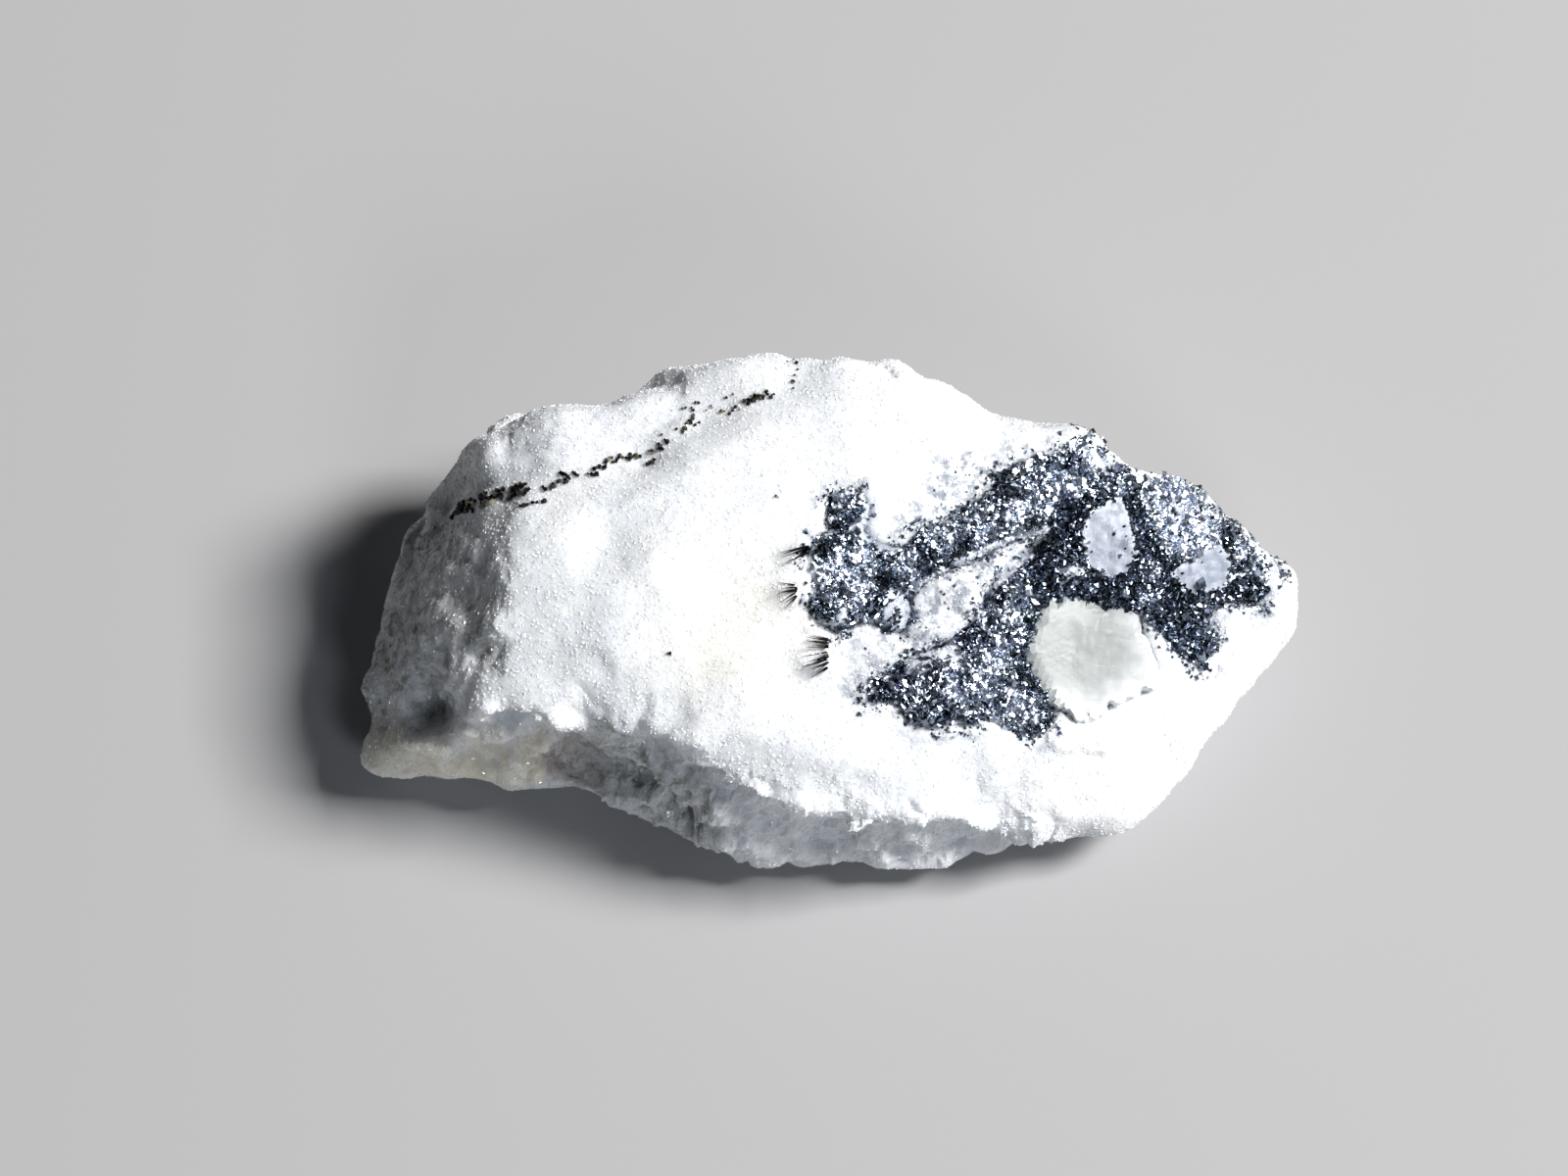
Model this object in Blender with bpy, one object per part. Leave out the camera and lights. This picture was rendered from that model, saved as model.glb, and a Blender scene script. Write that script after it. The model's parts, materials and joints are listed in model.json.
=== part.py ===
"""Dufrenoysite on sugary dolomite: a hand specimen that lies on its broken underside.

Millimetres are used in the tables below, and metres in Blender. The visible side is laid out as it is seen
from SIGHT_TILT above the table: across and up are measured square to that line of sight, and height is the
true height above the table. Everything hidden from there is laid out in plain x, y and z.
"""

import math
import random

import bmesh
import bpy
from mathutils import Euler, Matrix, Vector, noise
from mathutils.bvhtree import BVHTree
from mathutils.geometry import delaunay_2d_cdt

MM = 0.001
GAP = 0.3
SIGHT_TILT = math.radians(65)
SIGHT_UP = Vector((0, math.sin(SIGHT_TILT), math.cos(SIGHT_TILT)))
TO_EYE = Vector((0, -math.cos(SIGHT_TILT), math.sin(SIGHT_TILT)))
FAR_OFF = 100.0
POCKET_HEADROOM = 3.0

# The rock's outline as seen, clockwise from its left tip: across, up, height.
RIM = (
    (-22.25, -9.05, 2.8), (-22.0, -7.8, 3.3), (-21.7, -6.4, 3.8), (-21.5, -4.8, 4.3), (-21.1, -2.0, 5.2),
    (-20.4, -0.1, 5.8), (-19.9, 1.8, 6.4), (-19.4, 3.1, 6.9), (-18.75, 4.45, 7.5), (-17.8, 5.5, 8.3),
    (-16.9, 6.1, 9.0), (-15.1, 7.5, 10.6), (-13.6, 8.6, 12.2), (-12.7, 9.5, 13.3), (-12.0, 9.85, 13.9),
    (-11.35, 9.95, 14.3), (-10.5, 9.75, 14.4), (-9.1, 9.8, 14.4), (-7.75, 10.05, 14.2), (-6.6, 10.4, 14.1),
    (-5.75, 10.8, 14.2), (-5.0, 11.35, 14.6), (-3.1, 12.1, 15.4), (-2.3, 12.25, 15.6), (-0.4, 11.8, 15.6),
    (2.1, 12.0, 16.0), (3.4, 12.1, 16.1), (4.65, 11.8, 16.0), (6.2, 11.6, 15.8), (7.5, 10.9, 15.3),
    (9.1, 10.25, 14.8), (9.9, 9.75, 14.5), (10.5, 9.15, 14.1), (11.2, 8.75, 13.9), (13.6, 8.2, 13.4),
    (14.6, 8.35, 13.4), (15.0, 7.95, 13.2), (15.6, 7.9, 13.1), (16.1, 7.25, 12.8), (16.9, 6.35, 12.3),
    (18.4, 5.85, 11.9), (20.15, 5.95, 11.8), (20.75, 5.4, 11.5), (22.4, 3.95, 10.7), (24.3, 2.8, 9.8),
    (25.2, 1.95, 9.2), (26.0, 1.35, 8.5), (26.55, 0.6, 7.7), (26.4, -1.2, 6.6), (26.1, -2.3, 6.1),
    (24.9, -4.1, 5.4), (23.45, -5.25, 5.0), (22.65, -6.7, 4.7), (21.5, -8.0, 4.3), (20.4, -9.9, 4.0),
    (19.05, -11.45, 3.8), (18.35, -12.1, 3.7), (16.1, -12.95, 3.6), (12.9, -13.2, 3.5), (10.25, -13.65, 3.3),
    (9.1, -14.0, 3.2), (7.25, -14.25, 3.0), (3.25, -14.35, 2.8), (1.0, -14.65, 2.7), (-1.25, -14.45, 2.7),
    (-2.4, -14.5, 2.7), (-3.9, -13.5, 2.9), (-5.4, -12.55, 3.1), (-6.0, -12.05, 3.2), (-8.2, -11.45, 3.5),
    (-9.4, -11.45, 3.5), (-10.9, -10.35, 3.9), (-12.0, -9.95, 4.0), (-12.9, -10.15, 3.9), (-14.25, -9.85, 3.9),
    (-15.5, -9.9, 3.8), (-17.5, -10.4, 3.4), (-20.0, -9.95, 3.2), (-21.1, -9.55, 3.1),
)

# Broken edges inside that outline, each a run of across, up, height.
LEFT_CREST = (
    (-12.95, 8.4, 14.2), (-12.6, 6.5, 14.5), (-13.5, 4.0, 14.4), (-13.9, 2.0, 14.3), (-14.2, -0.5, 13.8),
    (-14.4, -2.75, 12.9), (-14.75, -4.75, 11.8), (-16.1, -6.1, 10.4),
)
LEFT_SHOULDER = (
    (-15.7, 6.3, 11.3), (-16.3, 4.0, 10.9), (-16.9, 2.0, 10.5), (-17.6, -0.3, 9.7), (-18.6, -2.5, 8.6),
    (-19.3, -4.75, 7.4), (-20.0, -6.75, 6.0), (-20.8, -8.2, 4.6),
)
FRONT_LIP = (
    (-14.75, -6.15, 10.9), (-13.2, -6.3, 11.1), (-11.9, -6.75, 11.0), (-10.1, -7.25, 10.9), (-9.5, -6.9, 11.0),
    (-8.95, -6.2, 11.4), (-8.0, -6.1, 11.6), (-6.9, -6.8, 11.4), (-5.75, -7.4, 11.2), (-4.85, -8.0, 10.9),
    (-2.75, -9.25, 10.2), (-1.5, -10.15, 9.6), (-0.25, -10.9, 9.1), (1.25, -11.65, 8.6), (4.0, -12.4, 8.0),
    (5.75, -12.25, 7.9), (7.3, -12.0, 7.9), (9.25, -12.4, 7.0), (11.0, -12.9, 5.6),
)
LOWER_LEDGE = ((-18.75, -7.85, 7.2), (-17.2, -7.75, 7.6), (-15.0, -7.8, 8.4), (-12.8, -7.75, 8.8), (-12.0, -8.1, 8.4))
SCOOP_SPUR = ((-8.5, -7.6, 9.4), (-7.5, -8.75, 8.0), (-6.4, -10.0, 6.6), (-5.5, -11.25, 5.2))
SCOOP_VALLEY = ((-6.2, -8.6, 7.0), (-5.4, -10.1, 4.6), (-4.9, -11.6, 3.4))
BLOCK_EDGE = ((-4.5, -8.9, 10.2), (-4.2, -10.2, 8.7), (-3.6, -11.6, 6.9), (-2.8, -13.2, 4.6))

# Heights between those edges: across, up, height.
LOW_SPOTS = (
    (-18.1, -6.1, 4.9), (-18.7, -4.6, 7.2), (-17.0, -4.6, 8.9), (-16.9, -6.9, 7.0), (-19.2, -6.7, 5.6),
    (-16.4, -7.1, 7.9), (-15.0, -7.05, 8.6), (-12.9, -7.15, 9.3), (-9.4, -8.0, 5.6), (-10.0, -9.3, 2.8),
    (-8.0, -10.0, 3.2), (-7.0, -11.1, 3.2), (-11.2, -8.8, 4.2), (-11.0, -9.8, 3.0), (-16.0, -9.2, 4.4),
    (-19.0, -9.0, 4.2), (-3.0, -10.0, 8.6), (-1.5, -11.6, 6.6), (0.0, -12.6, 5.2), (2.0, -13.1, 4.4),
    (4.5, -13.4, 4.0), (8.0, -13.2, 4.0), (-2.0, -13.8, 3.2),
)
TOP_SPOTS = (
    (-11.25, 8.5, 14.8), (-10.0, 7.5, 14.9), (-8.0, 8.5, 14.7), (-6.0, 9.8, 14.5), (-4.2, 10.5, 15.1),
    (-2.25, 11.3, 15.8), (-0.5, 10.8, 15.8), (-12.9, 4.4, 14.2), (-11.5, 5.3, 14.3), (-9.8, 5.9, 14.4),
    (-8.0, 6.6, 14.5), (-6.2, 7.4, 14.5), (-5.0, 8.5, 14.6), (-3.0, 9.0, 14.9), (-1.2, 9.6, 15.2),
    (0.5, 10.5, 15.6), (-11.5, 3.0, 14.8), (-9.0, 4.0, 15.1), (-6.0, 5.5, 15.4), (-3.0, 7.0, 15.6),
    (0.0, 8.5, 15.9), (3.5, 10.0, 16.3), (7.0, 10.0, 15.9), (9.5, 8.8, 15.2), (-12.0, 0.0, 14.3),
    (-9.0, 0.5, 14.9), (-5.0, 2.0, 15.3), (-1.0, 4.0, 15.5), (3.0, 6.5, 15.7), (7.0, 7.5, 15.2),
    (10.5, 7.5, 14.4), (13.0, 7.5, 13.9), (-12.5, -3.0, 13.3), (-9.0, -3.0, 13.9), (-5.0, -2.0, 14.2),
    (-1.0, -1.0, 14.2), (1.5, 1.5, 14.6), (4.0, 4.0, 14.9), (7.0, 5.0, 14.6), (10.0, 5.0, 13.9),
    (13.0, 5.5, 13.4), (-12.0, -5.2, 12.1), (-9.0, -5.2, 12.6), (-5.5, -5.5, 12.9), (-1.5, -5.0, 12.8),
    (2.5, -4.0, 12.7), (5.0, -2.0, 13.1), (7.5, 0.0, 13.2), (10.0, 2.0, 13.2), (13.0, 3.0, 12.9),
    (15.0, 5.0, 12.8), (17.5, 5.0, 12.2), (-3.0, -8.0, 11.3), (0.5, -8.5, 10.9), (4.0, -8.0, 10.9),
    (7.0, -6.5, 11.3), (10.0, -4.5, 11.6), (12.0, -2.0, 11.8), (14.5, 0.5, 11.7), (17.0, 2.5, 11.8),
    (19.5, 4.0, 11.4), (2.0, -10.8, 9.4), (5.0, -10.5, 9.3), (8.0, -10.0, 9.3), (11.0, -9.0, 9.2),
    (13.0, -6.5, 9.9), (15.5, -4.0, 9.9), (18.0, -1.5, 10.1), (20.5, 1.0, 10.3), (22.5, 2.0, 9.9),
    (10.5, -11.5, 7.0), (13.0, -11.0, 7.2), (15.5, -8.5, 7.9), (18.0, -6.0, 8.2), (20.5, -3.0, 8.5),
    (23.0, -1.0, 8.6), (24.5, 0.5, 8.5), (15.0, -11.8, 5.5), (17.0, -11.0, 5.6), (19.0, -8.5, 6.2),
    (21.0, -5.5, 6.8), (23.5, -3.0, 7.0), (25.0, -2.0, 6.8),
)

# The hidden girdle and the broken flat that it rests on, clockwise from the left tip: x, y, z.
GIRDLE = (
    (-21.2, -10.6, 1.6), (-20.6, -7.5, 2.2), (-20.4, -3.8, 3.4), (-19.6, 0.2, 4.6), (-17.2, 3.6, 5.6),
    (-13.2, 6.0, 6.8), (-8.8, 6.6, 8.2), (-5.2, 7.6, 7.2), (-1.0, 8.9, 7.8), (4.2, 8.6, 8.6), (9.4, 7.2, 7.4),
    (13.6, 5.2, 6.4), (18.2, 3.0, 6.6), (22.2, 1.4, 5.4), (25.0, -1.6, 4.0), (25.2, -5.2, 3.0), (22.0, -8.6, 2.2),
    (19.2, -12.2, 1.9), (14.4, -15.0, 1.7), (7.2, -16.0, 1.4), (0.2, -16.4, 1.2), (-5.6, -13.8, 1.5),
    (-11.0, -11.8, 1.8), (-16.6, -11.4, 1.7),
)
UNDERSIDE = (
    (-18.4, -9.2), (-17.2, -4.6), (-15.2, 0.2), (-11.4, 3.2), (-6.2, 4.6), (-0.4, 6.4), (5.6, 5.8), (10.8, 4.2),
    (16.6, 1.2), (20.8, -1.6), (21.6, -5.4), (18.2, -9.8), (12.4, -12.8), (4.8, -14.2), (-1.6, -13.6),
    (-7.4, -11.2), (-12.8, -10.2),
)
SAWN_OFF = 0.35
ROCK_VOXEL = 0.5
ROCK_TRIANGLES = 3400

# The lead-grey crust: its outline as seen, and the islands of white dolomite inside it.
CRUST_OUTLINE = (
    (2.4, 3.9), (2.7, 4.4), (3.2, 4.7), (3.8, 4.5), (4.05, 4.0), (3.9, 3.4), (3.7, 2.9), (4.0, 2.3), (5.0, 1.9),
    (6.2, 1.7), (6.8, 2.1), (7.0, 2.7), (8.0, 2.85), (8.9, 3.1), (9.3, 3.8), (10.2, 4.2), (10.8, 4.8), (11.2, 5.5),
    (11.9, 6.0), (12.9, 6.35), (14.3, 6.75), (14.7, 7.2), (15.1, 7.4), (15.5, 7.2), (15.9, 6.7), (16.3, 6.1),
    (17.2, 5.6), (18.3, 5.3), (20.0, 5.3), (20.6, 4.7), (21.4, 4.0), (22.3, 3.2), (23.2, 2.6), (24.1, 1.9),
    (24.8, 1.3), (25.2, 0.6), (25.1, -0.1), (24.5, -0.55), (23.4, -0.3), (22.4, -0.35), (21.6, -0.8), (21.1, -1.5),
    (21.5, -2.3), (21.9, -3.0), (21.3, -3.9), (20.5, -3.3), (19.8, -2.4), (19.1, -1.7), (18.5, -1.1), (17.6, -0.9),
    (16.7, -1.0), (15.4, -0.5), (14.2, -0.15), (13.2, -0.3), (12.7, -1.1), (12.2, -2.2), (11.8, -3.2), (12.2, -4.3),
    (12.9, -5.6), (13.3, -6.7), (12.9, -7.1), (11.6, -6.8), (10.5, -6.4), (9.7, -6.3), (9.1, -6.8), (8.3, -6.5),
    (7.3, -6.8), (6.6, -6.4), (6.2, -5.6), (5.3, -5.3), (4.3, -5.6), (5.0, -4.8), (6.0, -4.1), (7.2, -3.6),
    (8.6, -3.1), (9.4, -2.3), (10.1, -1.2), (10.8, 0.0), (12.0, 1.0), (12.9, 2.1), (13.5, 3.1), (12.2, 2.8),
    (10.9, 2.4), (9.6, 1.7), (8.2, 1.1), (6.9, 0.4), (6.1, -0.5), (6.2, -1.5), (5.7, -2.1), (4.8, -1.5),
    (3.9, -1.2), (2.9, -1.9), (2.0, -1.6), (1.4, -0.6), (1.6, 0.5), (1.3, 1.3), (1.8, 2.2), (2.7, 2.9),
)
CRUST_ISLANDS = (
    (
        (15.6, 3.8), (16.5, 3.5), (17.2, 4.2), (17.8, 3.9), (17.9, 2.7), (17.6, 1.7), (16.9, 1.0), (16.3, 0.6),
        (15.7, 1.2), (15.3, 2.3),
    ),
    ((20.3, 1.0), (21.2, 1.4), (22.0, 1.8), (22.5, 1.3), (22.4, 0.6), (21.4, 0.1), (20.5, 0.2)),
)
CRUST_DEPTH = 0.9
CRUST_RELIEF = 0.45
CRUST_SPACING = 0.95
CRUST_EDGE_DROP = 0.12
CRYSTAL_COUNT = 36
CRYSTAL_MARGIN = 0.85
CRYSTAL_LENGTH = (1.3, 2.1)
CRYSTAL_WIDTH = (0.55, 1.1)
CRYSTAL_LEAN = 0.75

# The glassy grey-green grain beside the crust, its outline as seen.
GRAIN_OUTLINE = (
    (13.35, -0.7), (14.25, -0.55), (15.45, -0.9), (16.6, -1.4), (17.5, -1.3), (18.3, -1.45), (18.8, -1.95),
    (19.5, -2.8), (20.0, -3.6), (19.9, -4.8), (19.4, -5.9), (18.5, -6.8), (17.2, -7.5), (15.6, -7.3), (14.4, -6.9),
    (13.75, -6.5), (13.25, -5.5), (12.55, -4.2), (12.2, -3.2), (12.55, -2.35), (13.05, -1.3),
)
GRAIN_DEPTH = 1.5
GRAIN_RELIEF = 0.22
GRAIN_SPACING = 1.3

# Stringers of pyrite cubes along the seam: across and up of each run's bends, and the size of its cubes.
PYRITE_STRINGERS = {
    "pyrite_stringer_left": (((-16.6, 4.0), (-15.4, 4.35), (-14.5, 4.75)), 0.56),
    "pyrite_stringer_middle": (((-9.8, 5.9), (-9.0, 6.3), (-8.2, 6.55), (-7.4, 6.6)), 0.46),
    "pyrite_stringer_right": (((-6.5, 7.1), (-5.9, 7.6), (-5.2, 8.2), (-4.6, 8.55)), 0.46),
}
PYRITE_PITCH = 0.7
PYRITE_HALF_WIDTH = 0.75
PYRITE_SUNK = 1.3

# Sprays of black needles: their outlines as seen, from the root to the tips of the longest.
NEEDLE_SPRAYS = {
    "needle_spray_upper": ((1.3, 2.3), (1.05, 1.7), (0.75, 1.3), (0.5, 1.5), (0.0, 1.4), (0.05, 1.65), (0.7, 2.0)),
    "needle_spray_middle": ((0.85, 0.1), (0.8, -0.2), (0.2, -0.6), (-0.35, -0.7), (-0.2, -0.3), (-0.35, 0.25)),
    "needle_spray_lower": ((2.3, -2.6), (2.35, -3.2), (1.95, -4.4), (1.5, -4.0), (0.9, -3.9), (0.2, -3.0), (1.3, -2.9)),
}
SPRAY_SUNK = 0.2
SPRAY_RISE = 0.35


def seen(across, up, height):
    """The place of a point of the visible side, from where it is seen and its height above the table."""
    back = (up - height * SIGHT_UP.z) / SIGHT_UP.y
    return Vector((across, back, height))


def in_sight_plane(across, up, nearer=0.0):
    """A point given square to the line of sight, and how much nearer the eye it lies."""
    return Vector((across, 0, 0)) + SIGHT_UP * up + TO_EYE * nearer


def smooth_step(value, low, high):
    share = min(1.0, max(0.0, (value - low) / (high - low)))
    return share * share * (3 - 2 * share)


def material(name, color, roughness, metallic=0.0):
    made = bpy.data.materials.new(name)
    made.use_nodes = True
    shader = made.node_tree.nodes["Principled BSDF"]
    shader.inputs["Base Color"].default_value = (*color, 1)
    shader.inputs["Roughness"].default_value = roughness
    shader.inputs["Metallic"].default_value = metallic
    return made


def object_from(bm, name, finish=None):
    """Writes a bmesh, in millimetres, to a new object in metres."""
    mesh = bpy.data.meshes.new(name)
    bm.transform(Matrix.Scale(MM, 4))
    bm.to_mesh(mesh)
    bm.free()
    obj = bpy.data.objects.new(name, mesh)
    bpy.context.scene.collection.objects.link(obj)
    if finish:
        mesh.materials.append(finish)
    return obj


def bake_modifiers(obj):
    """Replaces an object's mesh by what its modifiers make of it."""
    graph = bpy.context.evaluated_depsgraph_get()
    baked = bpy.data.meshes.new_from_object(obj.evaluated_get(graph))
    obj.modifiers.clear()
    obj.data = baked


def rock_cage():
    """The rock in its main broken faces: the visible side from its table of heights, the rest from two hidden loops."""
    points = [Vector(row) for row in RIM]
    creases = []
    for run in (LEFT_CREST, LEFT_SHOULDER, FRONT_LIP, LOWER_LEDGE, SCOOP_SPUR, SCOOP_VALLEY, BLOCK_EDGE):
        first = len(points)
        points += [Vector(row) for row in run]
        creases += [(i, i + 1) for i in range(first, len(points) - 1)]
    points += [Vector(row) for row in LOW_SPOTS + TOP_SPOTS]
    plan = [point.to_2d() for point in points]
    outline = [list(range(len(RIM)))]
    flat, _, faces, sources, _, _ = delaunay_2d_cdt(plan, creases, outline, 1, 1e-5)

    bm = bmesh.new()
    front = [bm.verts.new(seen(*points[source[0]])) for source in sources]
    for face in faces:
        bm.faces.new([front[i] for i in face])
    girdle = [bm.verts.new(row) for row in GIRDLE]
    underside = [bm.verts.new((*row, 0)) for row in UNDERSIDE]
    for upper, lower in ((front[: len(RIM)], girdle), (girdle, underside)):
        stitch(bm, upper, lower)
    bm.faces.new(underside)
    bmesh.ops.recalc_face_normals(bm, faces=bm.faces)
    return bm


def stitch(bm, upper, lower):
    """Joins two closed runs of vertices by triangles, each run starting near the other's start."""
    i, j = 0, 0
    while i < len(upper) or j < len(lower):
        a, b = upper[i % len(upper)], lower[j % len(lower)]
        next_a, next_b = upper[(i + 1) % len(upper)], lower[(j + 1) % len(lower)]
        along_upper = j == len(lower) or (
            i < len(upper) and (next_a.co - b.co).length <= (next_b.co - a.co).length
        )
        bm.faces.new((a, next_a, b) if along_upper else (a, next_b, b))
        i, j = (i + 1, j) if along_upper else (i, j + 1)


def broken_relief(place, steepness):
    """How far the rock stands out at a place, in millimetres: the flat top is worn, the steep sides are chipped."""
    chips = noise.voronoi(place * 0.22 + Vector((3.1, 0.4, 1.7)))[0]
    lumps = noise.fractal(place * 0.2 + Vector((9.2, 4.4, 0.3)), 1.0, 2.0, 3)
    grain = noise.noise(place * 0.9 + Vector((1.0, 7.0, 2.0)))
    rough = 0.25 + 0.75 * smooth_step(steepness, 0.15, 0.55)
    return rough * (1.1 * (0.4 - chips[0]) + 0.5 * lumps + 0.2 * grain)


def make_rock(finish):
    rock = object_from(rock_cage(), "dolomite_matrix", finish)
    fused = rock.modifiers.new("Fused", "REMESH")
    fused.mode = "VOXEL"
    fused.voxel_size = ROCK_VOXEL * MM
    bake_modifiers(rock)
    for vertex in rock.data.vertices:
        place = vertex.co / MM
        low = smooth_step(place.z, 0.0, 2.5)
        steepness = 1 - abs(vertex.normal.z)
        vertex.co += vertex.normal * broken_relief(place, steepness) * low * MM
    thinned = rock.modifiers.new("Thinned", "DECIMATE")
    thinned.ratio = ROCK_TRIANGLES / sum(len(face.vertices) - 2 for face in rock.data.polygons)
    thinned.use_collapse_triangulate = True
    bake_modifiers(rock)
    bm = bmesh.new()
    bm.from_mesh(rock.data)
    lowest = Vector((0, 0, SAWN_OFF * MM))
    geometry = bm.verts[:] + bm.edges[:] + bm.faces[:]
    cut = bmesh.ops.bisect_plane(bm, geom=geometry, plane_co=lowest, plane_no=(0, 0, 1), clear_inner=True)
    rim = [part for part in cut["geom_cut"] if isinstance(part, bmesh.types.BMEdge)]
    bmesh.ops.holes_fill(bm, edges=rim, sides=0)
    bmesh.ops.recalc_face_normals(bm, faces=bm.faces)
    bm.to_mesh(rock.data)
    bm.free()
    return rock


def rock_under(tree, across, up):
    """Where the line of sight through a point meets the rock, in millimetres."""
    hit = tree.ray_cast(in_sight_plane(across, up, FAR_OFF) * MM, -TO_EYE)[0]
    return hit / MM if hit else None


def grown(outline, by):
    """A closed outline moved outwards (as it is seen clockwise) by a distance."""
    points = [Vector(point) for point in outline]
    moved = []
    for i, point in enumerate(points):
        before, after = points[i - 1], points[(i + 1) % len(points)]
        sides = [(point - before).normalized(), (after - point).normalized()]
        out = sum((Vector((-side.y, side.x)) for side in sides), Vector((0, 0)))
        reach = by / max(0.55, out.length / 2)
        moved.append(point + out.normalized() * reach)
    return moved


def inside(point, outline):
    """Whether a point lies inside a closed outline."""
    crossings = 0
    for (x0, y0), (x1, y1) in zip(outline, [*outline[1:], outline[0]]):
        if (y0 > point.y) != (y1 > point.y):
            crossings += point.x < x0 + (point.y - y0) * (x1 - x0) / (y1 - y0)
    return crossings % 2 == 1


def to_edge(point, loops):
    """The distance from a point to the nearest stretch of some closed loops."""
    shortest = FAR_OFF
    for loop in loops:
        for start, end in zip(loop, [*loop[1:], loop[0]]):
            start, end = Vector(start), Vector(end)
            share = (point - start).dot(end - start) / (end - start).length_squared
            nearest = start.lerp(end, min(1.0, max(0.0, share)))
            shortest = min(shortest, (point - nearest).length)
    return shortest


def scattered(outline, islands, spacing, dice):
    """Points inside an outline and outside its islands, on a jittered triangular grid."""
    row_step = spacing * math.sqrt(3) / 2
    left, right = min(p[0] for p in outline), max(p[0] for p in outline)
    bottom, top = min(p[1] for p in outline), max(p[1] for p in outline)
    found = []
    for row in range(int((top - bottom) / row_step) + 1):
        for column in range(int((right - left) / spacing) + 2):
            jitter = Vector((dice.uniform(-0.25, 0.25), dice.uniform(-0.25, 0.25))) * spacing
            point = Vector((left + (column + 0.5 * (row % 2)) * spacing, bottom + row * row_step)) + jitter
            within = inside(point, outline) and not any(inside(point, island) for island in islands)
            if within and to_edge(point, [outline, *islands]) > 0.4 * spacing:
                found.append(point)
    return found


def slab(tree, outline, islands, inner, top_of, bottom_of):
    """A closed slab that follows the rock: its edge is the outline, and two functions give its top and bottom,
    each measured towards the eye from the rock's own surface."""
    loops = [outline, *islands]
    plan, edges = [], []
    for loop in loops:
        first = len(plan)
        plan += [Vector(point) for point in loop]
        edges += [(first + i, first + (i + 1) % len(loop)) for i in range(len(loop))]
    on_edge = len(plan)
    plan += inner
    flat, _, faces, sources, _, _ = delaunay_2d_cdt(plan, edges, [], 0, 1e-5)
    bm = bmesh.new()
    tops, bottoms = [], []
    for point, source in zip(flat, sources):
        base = rock_under(tree, *point) or Vector(in_sight_plane(*point, last_depth(tree, point)))
        rim = source[0] < on_edge
        tops.append(bm.verts.new(base + TO_EYE * top_of(point, rim)))
        bottoms.append(bm.verts.new(base + TO_EYE * bottom_of(point, rim)))
    used = set()
    for face in faces:
        centre = sum((flat[i] for i in face), Vector((0, 0))) / len(face)
        if not inside(centre, outline) or any(inside(centre, island) for island in islands):
            continue
        bm.faces.new([tops[i] for i in face])
        bm.faces.new([bottoms[i] for i in reversed(face)])
        used |= {(a, b) for a, b in zip(face, [*face[1:], face[0]])}
    for a, b in used:
        if (b, a) not in used:
            bm.faces.new((tops[b], tops[a], bottoms[a], bottoms[b]))
    bmesh.ops.delete(bm, geom=[v for v in bm.verts if not v.link_faces], context="VERTS")
    bmesh.ops.recalc_face_normals(bm, faces=bm.faces)
    return bm


def last_depth(tree, point):
    """How near the eye the closest rock lies to a line of sight that misses it."""
    near = tree.find_nearest(in_sight_plane(*point) * MM)[0] / MM
    return near.dot(TO_EYE)


def cut_from(rock, cutter):
    """Takes a cutter out of the rock, and removes the cutter."""
    pocket = rock.modifiers.new("Pocket", "BOOLEAN")
    pocket.operation = "DIFFERENCE"
    pocket.object = cutter
    bake_modifiers(rock)
    bpy.data.objects.remove(cutter)


def crystal(dice, length, width, place, lean):
    """A short striated prism with a chisel end, its root below the place that it grows from."""
    bm = bmesh.new()
    made = bmesh.ops.create_cone(bm, cap_ends=True, segments=6, radius1=width / 2, radius2=width / 2, depth=length)
    tip = [v for v in made["verts"] if v.co.z > 0]
    for vertex in tip:
        vertex.co.x *= 0.35
    turn = TO_EYE.to_track_quat("Z", "Y").to_matrix().to_4x4()
    tilt = Euler((dice.uniform(-lean, lean), dice.uniform(-lean, lean), dice.uniform(0, math.tau))).to_matrix().to_4x4()
    flatten = Matrix.Diagonal((dice.uniform(0.55, 1.0), 1, 1, 1))
    bm.transform(Matrix.Translation(place) @ turn @ tilt @ flatten)
    return bm


def joined(meshes):
    """Several bmeshes as one, each still a body of its own."""
    whole = bmesh.new()
    for bm in meshes:
        part = bpy.data.meshes.new("part")
        bm.to_mesh(part)
        bm.free()
        whole.from_mesh(part)
        bpy.data.meshes.remove(part)
    return whole


def fuse(obj, others):
    """Unites an object with bodies that overlap it and each other."""
    union = obj.modifiers.new("Grown together", "BOOLEAN")
    union.operation = "UNION"
    union.use_self = True
    union.object = others
    bake_modifiers(obj)
    bpy.data.objects.remove(others)


def largest_body(obj):
    """Drops the loose chips that a cut has left beside the main body."""
    bm = bmesh.new()
    bm.from_mesh(obj.data)
    unseen = set(bm.verts)
    bodies = []
    while unseen:
        found = {unseen.pop()}
        frontier = list(found)
        while frontier:
            vertex = frontier.pop()
            near = {link.other_vert(vertex) for link in vertex.link_edges} - found
            found |= near
            frontier += near
        unseen -= found
        bodies.append(found)
    bodies.sort(key=len)
    loose = [vertex for body in bodies[:-1] for vertex in body]
    bmesh.ops.delete(bm, geom=loose, context="VERTS")
    bm.to_mesh(obj.data)
    bm.free()


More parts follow.
